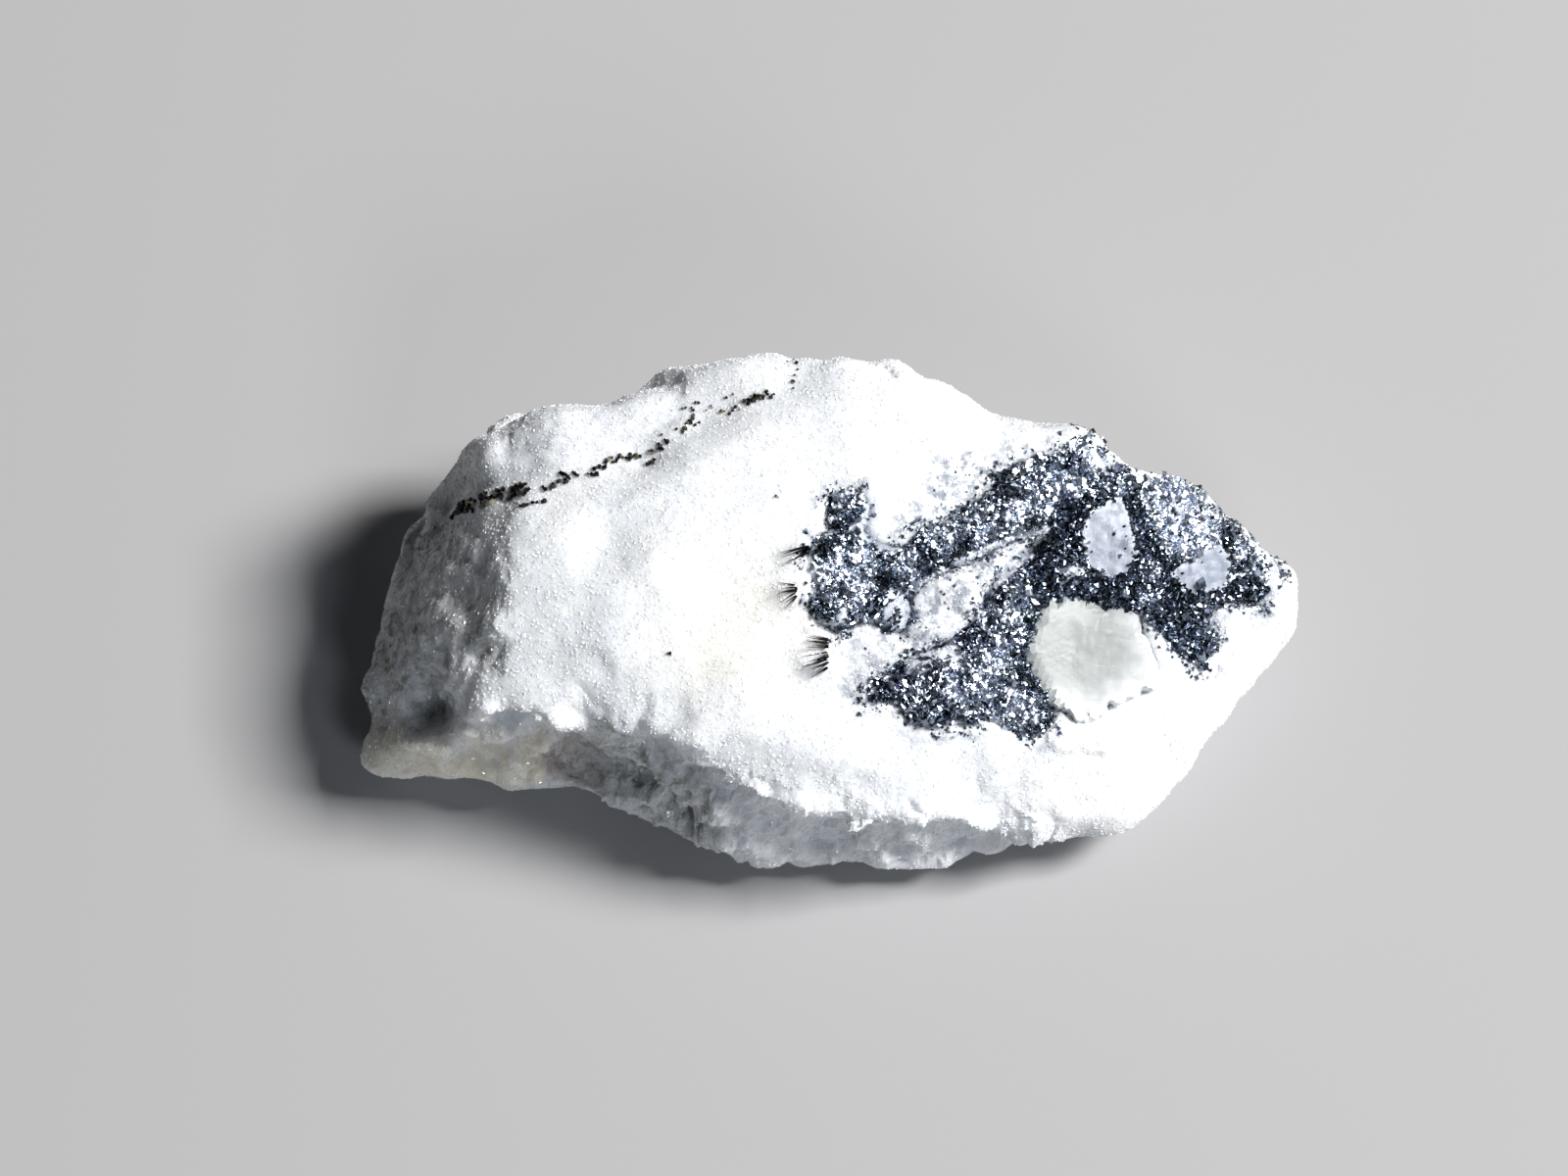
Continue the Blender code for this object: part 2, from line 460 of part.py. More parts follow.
def make_crust(tree, finish):
    """The crust of grown-together crystals, and the cutter of the pocket that it sits in."""
    dice = random.Random(7)
    inner = scattered(CRUST_OUTLINE, CRUST_ISLANDS, CRUST_SPACING, dice)
    knobs = {tuple(point): dice.uniform(-0.3, 1.0) for point in inner}

    def top(point, on_rim):
        if on_rim:
            return -CRUST_EDGE_DROP
        lump = noise.noise(Vector((point.x * 0.45, point.y * 0.45, 5.0)))
        return CRUST_RELIEF * (nearest_value(knobs, point) + 0.8 * lump)

    body = slab(tree, CRUST_OUTLINE, CRUST_ISLANDS, inner, top, lambda point, on_rim: -CRUST_DEPTH)
    crust = object_from(body, "dufrenoysite_crust", finish)
    rooms = [point for point in inner if to_edge(point, [CRUST_OUTLINE, *CRUST_ISLANDS]) > CRYSTAL_MARGIN]
    crystals = []
    for root in dice.sample(rooms, CRYSTAL_COUNT):
        length, width = dice.uniform(*CRYSTAL_LENGTH), dice.uniform(*CRYSTAL_WIDTH)
        crystals.append(crystal(dice, length, width, rock_under(tree, *root), CRYSTAL_LEAN))
    fuse(crust, object_from(joined(crystals), "crystals"))
    largest_body(crust)
    return crust, pocket_for(tree, CRUST_OUTLINE, CRUST_ISLANDS, inner, CRUST_DEPTH)


def make_grain(tree, finish):
    """The glassy grain: its flat cleavage steps, and the cutter of its pocket."""
    inner = scattered(GRAIN_OUTLINE, (), GRAIN_SPACING, random.Random(3))

    def top(point, on_rim):
        step = math.floor(noise.noise(Vector((point.x * 0.3, point.y * 0.3, 2.0))) * 4) / 4
        return 0.0 if on_rim else GRAIN_RELIEF * (0.5 + step)

    body = slab(tree, GRAIN_OUTLINE, (), inner, top, lambda point, on_rim: -GRAIN_DEPTH)
    grain = object_from(body, "glassy_dolomite_grain", finish)
    return grain, pocket_for(tree, GRAIN_OUTLINE, (), inner, GRAIN_DEPTH)


def pocket_for(tree, outline, islands, inner, depth):
    """The cutter of a pocket that is GAP wider and deeper than the slab that sits in it."""
    narrower = [grown(island, -GAP) for island in islands]
    within = [Vector(point) for loop in (outline, *islands) for point in loop] + inner
    body = slab(
        tree, grown(outline, GAP), narrower, within,
        lambda point, on_rim: POCKET_HEADROOM, lambda point, on_rim: -depth - GAP,
    )
    return object_from(body, "pocket")


def nearest_value(table, point):
    """The value kept for a point, or for the one closest to it."""
    key = min(table, key=lambda known: (known[0] - point.x) ** 2 + (known[1] - point.y) ** 2)
    return table[key]


def evenly_along(points, pitch):
    """Places at an even pitch along a run of straight stretches."""
    places = [points[0]]
    left = pitch
    for start, end in zip(points, points[1:]):
        length = (end - start).length
        reached = left
        while reached < length:
            places.append(start.lerp(end, reached / length))
            reached += pitch
        left = reached - length
    return places


def make_stringer(tree, name, bends, size, finish):
    """A run of pyrite cubes grown into one another, and the cutter of the groove that it sits in."""
    dice = random.Random(name)
    run = [Vector(bend) for bend in bends]
    seats = evenly_along(run, PYRITE_PITCH * size / 2)
    route = [rock_under(tree, *seat) for seat in seats]
    cubes = []
    for place in evenly_along(route, PYRITE_PITCH * size):
        cube = bmesh.new()
        bmesh.ops.create_cube(cube, size=size * dice.uniform(0.85, 1.15))
        turn = TO_EYE.to_track_quat("Z", "Y").to_matrix().to_4x4()
        spin = Matrix.Rotation(dice.uniform(0, math.tau / 4), 4, "Z")
        cube.transform(Matrix.Translation(place) @ turn @ spin)
        cubes.append(cube)
    stringer = object_from(cubes[0], name, finish)
    fuse(stringer, object_from(joined(cubes[1:]), "cubes"))
    half = size * PYRITE_HALF_WIDTH
    along = (run[-1] - run[0]).normalized()
    side = Vector((-along.y, along.x)) * half
    run[0] -= along * half
    run[-1] += along * half
    outline = [bend + side for bend in run] + [bend - side for bend in reversed(run)]
    return stringer, pocket_for(tree, outline, (), seats, size * PYRITE_SUNK)


def make_spray(tree, name, outline, finish):
    """A spray of needles as one thin fan that reaches their tips, and the cutter of its seat."""
    body = slab(
        tree, outline, (), [],
        lambda point, on_rim: SPRAY_RISE, lambda point, on_rim: -SPRAY_SUNK,
    )
    return object_from(body, name, finish), pocket_for(tree, outline, (), [], SPRAY_SUNK)


def stand_on_origin(objects):
    """Moves everything so that the middle of its footprint is at the origin, and its underside at z = 0."""
    corners = [obj.matrix_world @ Vector(corner) for obj in objects for corner in obj.bound_box]
    low = Vector(min(corner[i] for corner in corners) for i in range(3))
    high = Vector(max(corner[i] for corner in corners) for i in range(3))
    for obj in objects:
        obj.location -= Vector(((low.x + high.x) / 2, (low.y + high.y) / 2, low.z))


def main():
    for obj in list(bpy.data.objects):
        bpy.data.objects.remove(obj)
    white = material("sugary dolomite", (0.86, 0.87, 0.88), 0.62)
    lead = material("lead-grey metallic", (0.17, 0.19, 0.23), 0.28, 1.0)
    glassy = material("glassy grey-green", (0.42, 0.46, 0.43), 0.15)
    brassy = material("tarnished brassy", (0.16, 0.13, 0.08), 0.35, 1.0)
    black = material("black needles", (0.03, 0.03, 0.035), 0.3, 1.0)
    rock = make_rock(white)
    bm = bmesh.new()
    bm.from_mesh(rock.data)
    tree = BVHTree.FromBMesh(bm)
    bm.free()
    pieces = [make_crust(tree, lead), make_grain(tree, glassy)]
    for name, (bends, size) in PYRITE_STRINGERS.items():
        pieces.append(make_stringer(tree, name, bends, size, brassy))
    for name, outline in NEEDLE_SPRAYS.items():
        pieces.append(make_spray(tree, name, outline, black))
    for _, pocket in pieces:
        cut_from(rock, pocket)
    largest_body(rock)
    stand_on_origin([rock, *(piece for piece, _ in pieces)])


main()
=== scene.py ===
import json
import math

import bmesh
import bpy
import numpy as np
from mathutils import Matrix, Vector, noise
from mathutils.bvhtree import BVHTree

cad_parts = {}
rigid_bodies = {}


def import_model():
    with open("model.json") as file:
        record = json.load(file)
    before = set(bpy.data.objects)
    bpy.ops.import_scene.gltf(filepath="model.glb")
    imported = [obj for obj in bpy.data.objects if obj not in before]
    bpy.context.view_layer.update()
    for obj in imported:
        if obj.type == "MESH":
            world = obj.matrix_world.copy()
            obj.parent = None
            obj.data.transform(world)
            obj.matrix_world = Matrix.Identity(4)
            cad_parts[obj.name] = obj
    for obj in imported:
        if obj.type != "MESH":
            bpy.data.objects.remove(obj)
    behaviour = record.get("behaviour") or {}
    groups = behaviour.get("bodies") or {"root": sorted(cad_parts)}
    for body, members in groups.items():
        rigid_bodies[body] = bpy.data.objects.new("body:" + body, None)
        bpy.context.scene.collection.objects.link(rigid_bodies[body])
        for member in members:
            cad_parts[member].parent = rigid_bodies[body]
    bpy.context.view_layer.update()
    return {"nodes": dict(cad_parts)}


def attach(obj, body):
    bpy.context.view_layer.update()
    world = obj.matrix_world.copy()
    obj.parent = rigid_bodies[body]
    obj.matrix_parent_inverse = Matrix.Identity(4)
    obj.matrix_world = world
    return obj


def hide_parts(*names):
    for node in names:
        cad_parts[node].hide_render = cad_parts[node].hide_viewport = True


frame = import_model()
mm = 0.001

# The photo looks down on the rock from the front. A place on it is given as it is seen, in millimetres
# across and up from the photo's middle, square to that line of sight.
sight = {
    "tilt": 65.0, "centre": (-2.34, 4.29, -0.35), "pictureWidth": 80.0, "distance": 0.5, "nearestRock": 11.0,
    "aboveAll": 60, "nearRock": 10,
}
tilt = math.radians(sight["tilt"])
toEye = Vector((0, -math.cos(tilt), math.sin(tilt)))
sightUp = Vector((0, math.sin(tilt), math.cos(tilt)))
sightCentre = Vector(sight["centre"]) * mm
keyFrom = (0.69, 0.06, 0.74)


def inSight(across, up, nearer=0.0):
    return sightCentre + (Vector((across, 0, 0)) + sightUp * up + toEye * nearer) * mm


def softStep(value, low, high):
    share = np.clip((value - low) / (high - low), 0, 1)
    return share * share * (3 - 2 * share)


# Meshes as arrays

def pointsOf(mesh):
    flat = np.empty(len(mesh.vertices) * 3)
    mesh.vertices.foreach_get("co", flat)
    return flat.reshape(-1, 3)


def normalsOf(mesh):
    flat = np.empty(len(mesh.vertices) * 3)
    mesh.vertex_normals.foreach_get("vector", flat)
    return flat.reshape(-1, 3)


def setPoints(mesh, points):
    mesh.vertices.foreach_set("co", points.ravel())
    mesh.update()


def setValues(mesh, name, values):
    attribute = mesh.attributes.get(name) or mesh.attributes.new(name, "FLOAT", "POINT")
    attribute.data.foreach_set("value", np.asarray(values, dtype=np.float32))


def newPiece(name, mesh):
    piece = bpy.data.objects.new(name, mesh)
    bpy.context.scene.collection.objects.link(piece)
    return piece


def bake(piece):
    graph = bpy.context.evaluated_depsgraph_get()
    mesh = bpy.data.meshes.new_from_object(piece.evaluated_get(graph))
    piece.modifiers.clear()
    piece.data = mesh
    return piece


def dress(piece, look):
    piece.data.materials.clear()
    piece.data.materials.append(look)
    piece.data.polygons.foreach_set("material_index", np.zeros(len(piece.data.polygons), dtype=np.int32))
    return piece


def meshOf(bm, name, turnOut=False):
    mesh = bpy.data.meshes.new(name)
    if turnOut:
        bmesh.ops.recalc_face_normals(bm, faces=bm.faces)
    bm.to_mesh(mesh)
    bm.free()
    return mesh


def copyOfNodes(name, *nodes):
    # the CAD nodes' triangles as one mesh, with their loose corners merged
    bm = bmesh.new()
    for node in nodes:
        mesh = frame["nodes"][node].data.copy()
        mesh.transform(frame["nodes"][node].matrix_world)
        bm.from_mesh(mesh)
        bpy.data.meshes.remove(mesh)
    bmesh.ops.remove_doubles(bm, verts=bm.verts, dist=0.001 * mm)
    return newPiece(name, meshOf(bm, name))


def joinMeshes(name, parts):
    bm = bmesh.new()
    for part in parts:
        bm.from_mesh(part.data)
        bpy.data.objects.remove(part)
    return newPiece(name, meshOf(bm, name))


def voxelFuse(piece, size):
    fuse = piece.modifiers.new("fuse", "REMESH")
    fuse.mode = "VOXEL"
    fuse.voxel_size = size * mm
    return bake(piece)


def relax(piece, rounds, where=None):
    # smooths the piece, or only as much as the share that where gives for each point
    soften = piece.modifiers.new("soften", "SMOOTH")
    soften.factor = 0.5
    soften.iterations = rounds
    before = pointsOf(piece.data)
    bake(piece)
    if where is not None:
        setPoints(piece.data, before + (pointsOf(piece.data) - before) * where[:, None])
    return piece


def grow(piece, by):
    setPoints(piece.data, pointsOf(piece.data) + normalsOf(piece.data) * by * mm)
    return piece


def treeOf(piece):
    bm = bmesh.new()
    bm.from_mesh(piece.data)
    tree = BVHTree.FromBMesh(bm)
    bm.free()
    return tree


def distanceTo(tree, points):
    return np.array([tree.find_nearest(point)[3] for point in points]) / mm


def spotMask(seen, spots, core=0.1):
    # the strongest of some soft spots, each given as across, up, radius and strength
    mask = np.zeros(len(seen))
    for across, up, radius, strength in spots:
        away = np.hypot(seen[:, 0] - across, seen[:, 1] - up)
        mask = np.maximum(mask, strength * (1 - softStep(away, core * radius, 1.15 * radius)))
    return mask


def patchMask(seen, patches, edge=0.22):
    # one inside any of some outlines, each given by its corners as across and up
    mask = np.zeros(len(seen))
    for corners, strength in patches:
        inside = np.zeros(len(seen), dtype=bool)
        away = np.full(len(seen), np.inf)
        for (x1, y1), (x2, y2) in zip(corners, (*corners[1:], corners[0])):
            x, y = seen[:, 0] - x1, seen[:, 1] - y1
            dx, dy = x2 - x1, y2 - y1
            along = np.clip((x * dx + y * dy) / (dx * dx + dy * dy), 0, 1)
            away = np.minimum(away, np.hypot(x - along * dx, y - along * dy))
            if dy:
                inside ^= ((y > 0) != (y > dy)) & (x < dx * y / dy)
        mask = np.maximum(mask, strength * softStep(np.where(inside, away, -away), -edge, edge))
    return mask


def facingEye(normals):
    return softStep(normals @ np.array(toEye), -0.15, 0.2)


def unevenly(seen, points, by):
    # the same places pushed about, so that what is laid out by them gets a ragged edge
    push = []
    for point in points / mm:
        place = Vector(point)
        push.append(noise.noise_vector(place * 0.5) + 0.7 * noise.noise_vector(place * 1.6))
    return seen[:, :2] + np.array(push)[:, :2] * by


def patchiness(points, scale):
    return np.array([noise.fractal(Vector(point) * scale, 0.9, 2.0, 3) for point in points / mm])


def seenFrom(points):
    # across, up and nearer for each point, in millimetres
    away = (points - np.array(sightCentre)) / mm
    return np.stack([away[:, 0], away @ np.array(sightUp), away @ np.array(toEye)], axis=1)


def onRock(across, up, *above):
    # where the line of sight through that place first meets the rock, or another surface above it
    start = inSight(across, up, sight["aboveAll"])
    met = [tree.ray_cast(start, -toEye)[0] for tree in (rockTree, *above)]
    met = [point for point in met if point]
    if not met:
        return rockTree.find_nearest(inSight(across, up, sight["nearRock"]))[0]
    return max(met, key=lambda point: point.dot(toEye))


# Material helpers

def startMaterial(name, **values):
    material = bpy.data.materials.new(name)
    material.use_nodes = True
    shader = material.node_tree.nodes["Principled BSDF"]
    for socket, value in values.items():
        shader.inputs[socket.replace("_", " ")].default_value = value
    return material, material.node_tree, shader


def addNode(tree, kind, links=None, **settings):
    node = tree.nodes.new(kind)
    for name, value in settings.items():
        setattr(node, name, value)
    for socket, source in (links or {}).items():
        target = node.inputs[socket]
        if isinstance(source, bpy.types.NodeSocket):
            tree.links.new(source, target)
        else:
            target.default_value = source
    return node


def mathOf(tree, operation, a, b):
    return addNode(tree, "ShaderNodeMath", {0: a, 1: b}, operation=operation).outputs[0]


def times(tree, a, b):
    return mathOf(tree, "MULTIPLY", a, b)


def vectorMath(tree, operation, a, b):
    node = addNode(tree, "ShaderNodeVectorMath", {0: a, 1: b}, operation=operation)
    return node.outputs["Value" if operation == "DOT_PRODUCT" else "Vector"]


def scaled(tree, vector, factor):
    return addNode(tree, "ShaderNodeVectorMath", {0: vector, 3: factor}, operation="SCALE").outputs[0]


def millimetres(tree):
    # the piece's own coordinates, in millimetres
    return scaled(tree, addNode(tree, "ShaderNodeTexCoord").outputs["Object"], 1 / mm)


def stretchedPlace(tree, place, turn, scale):
    return addNode(tree, "ShaderNodeMapping", {"Vector": place, "Rotation": turn, "Scale": scale}).outputs[0]


def noiseOf(tree, place, scale, detail=3.0, roughness=0.55, **extra):
    links = {"Vector": place, "Scale": scale, "Detail": detail, "Roughness": roughness, **extra}
    return addNode(tree, "ShaderNodeTexNoise", links).outputs["Fac"]


def remap(tree, value, low, high, newLow=0.0, newHigh=1.0):
    links = {"Value": value, "From Min": low, "From Max": high, "To Min": newLow, "To Max": newHigh}
    return addNode(tree, "ShaderNodeMapRange", links, interpolation_type="SMOOTHSTEP").outputs["Result"]


def blend(tree, share, a, b):
    mixed = addNode(tree, "ShaderNodeMix", {0: share, 6: a, 7: b}, data_type="RGBA")
    return mixed.outputs[2]


def readValue(tree, name):
    return addNode(tree, "ShaderNodeAttribute", attribute_name=name).outputs["Fac"]


def facetBump(tree, place, size, strength, depth, under=None):
    # every cell of a Voronoi pattern becomes a small flat face with a tilt of its own
    cells = addNode(tree, "ShaderNodeTexVoronoi", {"Vector": place, "Scale": 1 / size}).outputs
    inCell = vectorMath(tree, "SUBTRACT", place, scaled(tree, cells["Position"], size))
    lean = vectorMath(tree, "SUBTRACT", cells["Color"], (0.5, 0.5, 0.5))
    height = vectorMath(tree, "DOT_PRODUCT", inCell, lean)
    links = {"Strength": strength, "Distance": depth * mm, "Height": height}
    if under:
        links["Normal"] = under
    return addNode(tree, "ShaderNodeBump", links).outputs["Normal"]


# Dolomite: white and sugary, with cream, greenish dirt mixed with painted shade on its far-left face and in
# its pits and grooves, and a lead-grey hazy tint where the crystals lie just below, which on the upper left
# is painted shade

dolomite = {
    "white": (0.90, 0.915, 0.935, 1), "greyWhite": (0.70, 0.73, 0.77, 1), "cream": (0.87, 0.80, 0.64, 1),
    "paintedShadeAndGrime": (0.16, 0.17, 0.12, 1), "brown": (0.36, 0.27, 0.21, 1), "hazeAndPaintedShade": (0.16, 0.19, 0.25, 1),
    "roughness": (0.35, 0.6), "sparkle": (0.1, 0.25), "IOR": 1.62, "glow": 0.8, "glowRadius": 0.9,
    "grain": 0.15, "bumpDepth": 0.08, "speckle": 0.6, "clouds": 0.4, "bands": 0.45, "toneShare": 0.16,
}


def dolomiteMaterial(name, glow, roughness, bumps):
    look = dolomite
    material, tree, shader = startMaterial(name, IOR=look["IOR"], Subsurface_Weight=glow)
    shader.inputs["Subsurface Scale"].default_value = look["glowRadius"] * mm
    shader.inputs["Subsurface Radius"].default_value = (1.0, 0.94, 0.86)
    place = millimetres(tree)
    broad = noiseOf(tree, place, 0.28, 4)
    fine = noiseOf(tree, place, 2.6, 3)
    clouded = remap(tree, mathOf(tree, "ADD", broad, times(tree, fine, 0.5)), 0.66, 0.98)
    banded = stretchedPlace(tree, place, (0, 0, 0.25), (0.42, 0.1, 0.2))
    bands = remap(tree, noiseOf(tree, banded, 1.0, 3, 0.6), 0.42, 0.68, 0, look["bands"])
    greyed = mathOf(tree, "MAXIMUM", times(tree, clouded, look["clouds"]), bands)
    color = blend(tree, greyed, look["white"], look["greyWhite"])
    color = blend(tree, times(tree, readValue(tree, "tone"), look["toneShare"]), color, look["greyWhite"])
    grains = addNode(tree, "ShaderNodeTexVoronoi", {"Vector": place, "Scale": 1 / look["grain"]})
    speck = remap(tree, grains.outputs["Color"], 0.45, 0.9, 0, look["speckle"])
    color = blend(tree, speck, color, look["greyWhite"])
    speckle = remap(tree, noiseOf(tree, place, 1.5, 5, 0.7), 0.42, 0.62)
    mottled = remap(tree, speckle, 0, 1, 0.4, 1.0)
    # the rock's tints; the dark one is painted shade with some real dirt, and the hazy one is painted shade
    # on the upper left
    unevenness = {
        "cream": remap(tree, broad, 0.3, 0.6, 0.6, 1.0), "brown": mottled, "paintedShadeAndGrime": mottled,
        "hazeAndPaintedShade": remap(tree, speckle, 0, 1, 0.15, 1.0),
    }
    for tint, uneven in unevenness.items():
        color = blend(tree, times(tree, readValue(tree, tint), uneven), color, look[tint])
    tree.links.new(color, shader.inputs["Base Color"])
    rough = remap(tree, noiseOf(tree, place, 3.3, 2), 0.35, 0.65, *roughness)
    tree.links.new(rough, shader.inputs["Roughness"])
    if bumps:
        coarse = facetBump(tree, place, look["grain"], 0.5, look["bumpDepth"])
        small = facetBump(tree, place, look["grain"] * 0.45, 0.4, look["bumpDepth"] * 0.5, coarse)
        tree.links.new(small, shader.inputs["Normal"])
    return material


# Dufrenoysite: lead-grey metal, brightest on its flat faces

lead = {
    "bright": (0.80, 0.86, 0.97, 1), "middle": (0.32, 0.37, 0.46, 1), "dark": (0.035, 0.043, 0.06, 1),
    "greenish": (0.06, 0.09, 0.08, 1), "bed": (0.015, 0.018, 0.023, 1), "hazeAndPaintedShade": (0.255, 0.285, 0.35, 1),
    "pale": (0.68, 0.715, 0.765, 1), "roughness": (0.12, 0.28), "facet": 0.16, "facetStrength": 0.35,
}


def leadMaterial():
    material, tree, shader = startMaterial("lead-grey metal", Metallic=1.0)
    place = millimetres(tree)
    tone = readValue(tree, "tone")
    shine = readValue(tree, "shine")
    broad = noiseOf(tree, place, 0.55, 3)
    color = blend(tree, remap(tree, tone, 0.2, 0.85), lead["dark"], lead["middle"])
    color = blend(tree, remap(tree, broad, 0.48, 0.68, 0, 0.6), color, lead["greenish"])
    color = blend(tree, times(tree, shine, remap(tree, tone, 0.25, 0.6)), color, lead["bright"])
    tree.links.new(color, shader.inputs["Base Color"])
    rough = remap(tree, noiseOf(tree, place, 4.0, 2), 0.3, 0.7, *lead["roughness"])
    tree.links.new(mathOf(tree, "ADD", rough, times(tree, shine, 0.12)), shader.inputs["Roughness"])
    facets = facetBump(tree, place, lead["facet"], lead["facetStrength"], 0.3)
    tree.links.new(facets, shader.inputs["Normal"])
    return material


def bedMaterial():
    # what lies between the crystals: metal in shade, with pale or hazy dolomite showing through in patches
    material, tree, shader = startMaterial("crust bed")
    place = millimetres(tree)
    uneven = mathOf(tree, "ADD", readValue(tree, "pale"), noiseOf(tree, place, 1.9, 4, 0.7))
    pale = remap(tree, uneven, 0.8, 1.15)
    wisps = remap(tree, noiseOf(tree, place, 1.6, 5, 0.75), 0.4, 0.62)
    hazy = blend(tree, mathOf(tree, "MAXIMUM", wisps, readValue(tree, "hazeAndPaintedShade")), lead["pale"], lead["hazeAndPaintedShade"])
    tree.links.new(blend(tree, pale, lead["bed"], hazy), shader.inputs["Base Color"])
    tree.links.new(remap(tree, pale, 0, 1, 1.0, 0.0), shader.inputs["Metallic"])
    tree.links.new(remap(tree, pale, 0, 1, 0.3, 0.5), shader.inputs["Roughness"])
    facets = facetBump(tree, place, lead["facet"], lead["facetStrength"], 0.2)
    tree.links.new(facets, shader.inputs["Normal"])
    return material


# Glassy grain: pale grey-green, see-through, with white cleavage streaks

glass = {
    "body": (0.425, 0.452, 0.445, 1), "streak": (0.92, 0.94, 0.93, 1), "absorb": (0.88, 0.905, 0.88, 1),
    "density": 60.0, "IOR": 1.65, "roughness": 0.42, "mirror": 0.05, "seeThrough": 0.4, "streaks": 0.35,
    "flaws": 0.6, "milk": 0.7, "ripple": 0.12, "rippleDepth": 0.2,
}


def glassMaterial():
    material, tree, shader = startMaterial(
        "glassy dolomite", IOR=glass["IOR"], Roughness=glass["roughness"], Specular_IOR_Level=glass["mirror"],
    )
    place = millimetres(tree)
    stretched = stretchedPlace(tree, place, (0.2, 0.3, 0.7), (0.6, 3.4, 1.2))
    flaw = remap(tree, noiseOf(tree, stretched, 0.9, 2, 0.5), 0.64, 0.8)
    milk = remap(tree, noiseOf(tree, place, 0.45, 3), 0.3, 0.65)
    whitened = readValue(tree, "covered")
    color = blend(tree, times(tree, flaw, glass["streaks"]), glass["body"], glass["streak"])
    color = blend(tree, whitened, color, dolomite["white"])
    tree.links.new(color, shader.inputs["Base Color"])
    cloudy = mathOf(tree, "MAXIMUM", times(tree, flaw, glass["flaws"]), times(tree, milk, glass["milk"]))
    cloudy = mathOf(tree, "MAXIMUM", cloudy, whitened)
    clear = remap(tree, cloudy, 0, 1, glass["seeThrough"], 0.0)
    tree.links.new(clear, shader.inputs["Transmission Weight"])
    grainy = facetBump(tree, place, dolomite["grain"], times(tree, whitened, 0.5), dolomite["bumpDepth"])
    uneven = addNode(tree, "ShaderNodeBump", {
        "Strength": glass["ripple"], "Distance": glass["rippleDepth"] * mm,
        "Height": noiseOf(tree, place, 0.7, 2), "Normal": grainy,
    })
    tree.links.new(uneven.outputs["Normal"], shader.inputs["Normal"])
    links = {"Color": glass["absorb"], "Density": glass["density"]}
    absorb = addNode(tree, "ShaderNodeVolumeAbsorption", links)
    tree.links.new(absorb.outputs[0], tree.nodes["Material Output"].inputs["Volume"])
    return material


# Pyrite and the black needles

pyrite = {"tarnished": (0.05, 0.048, 0.045, 1), "brassy": (0.55, 0.48, 0.33, 1), "roughness": (0.22, 0.5)}
needle = {"dark": (0.006, 0.006, 0.007, 1), "grey": (0.03, 0.032, 0.036, 1), "roughness": (0.2, 0.4)}


def pyriteMaterial():
    material, tree, shader = startMaterial("tarnished pyrite", Metallic=1.0)
    place = millimetres(tree)
    tone = readValue(tree, "tone")
    color = blend(tree, remap(tree, tone, 0.86, 0.98), pyrite["tarnished"], pyrite["brassy"])
    tree.links.new(color, shader.inputs["Base Color"])
    rough = remap(tree, noiseOf(tree, place, 5.0, 2), 0.3, 0.7, *pyrite["roughness"])
    tree.links.new(rough, shader.inputs["Roughness"])
    return material


def needleMaterial():
    material, tree, shader = startMaterial("black needles", Metallic=0.9)
    tone = readValue(tree, "tone")
    tree.links.new(blend(tree, tone, needle["dark"], needle["grey"]), shader.inputs["Base Color"])
    tree.links.new(remap(tree, tone, 0, 1, *needle["roughness"]), shader.inputs["Roughness"])
    return material


print("materials")
dolomiteLook = dolomiteMaterial("sugary dolomite", dolomite["glow"], dolomite["roughness"], True)
sparkleLook = dolomiteMaterial("dolomite cleavage faces", 0.0, dolomite["sparkle"], False)
leadLook = leadMaterial()
bedLook = bedMaterial()
glassLook = glassMaterial()
pyriteLook = pyriteMaterial()
needleLook = needleMaterial()


# The rock: its CAD solid with the grooves of the small crystals closed, then worn, broken and roughened

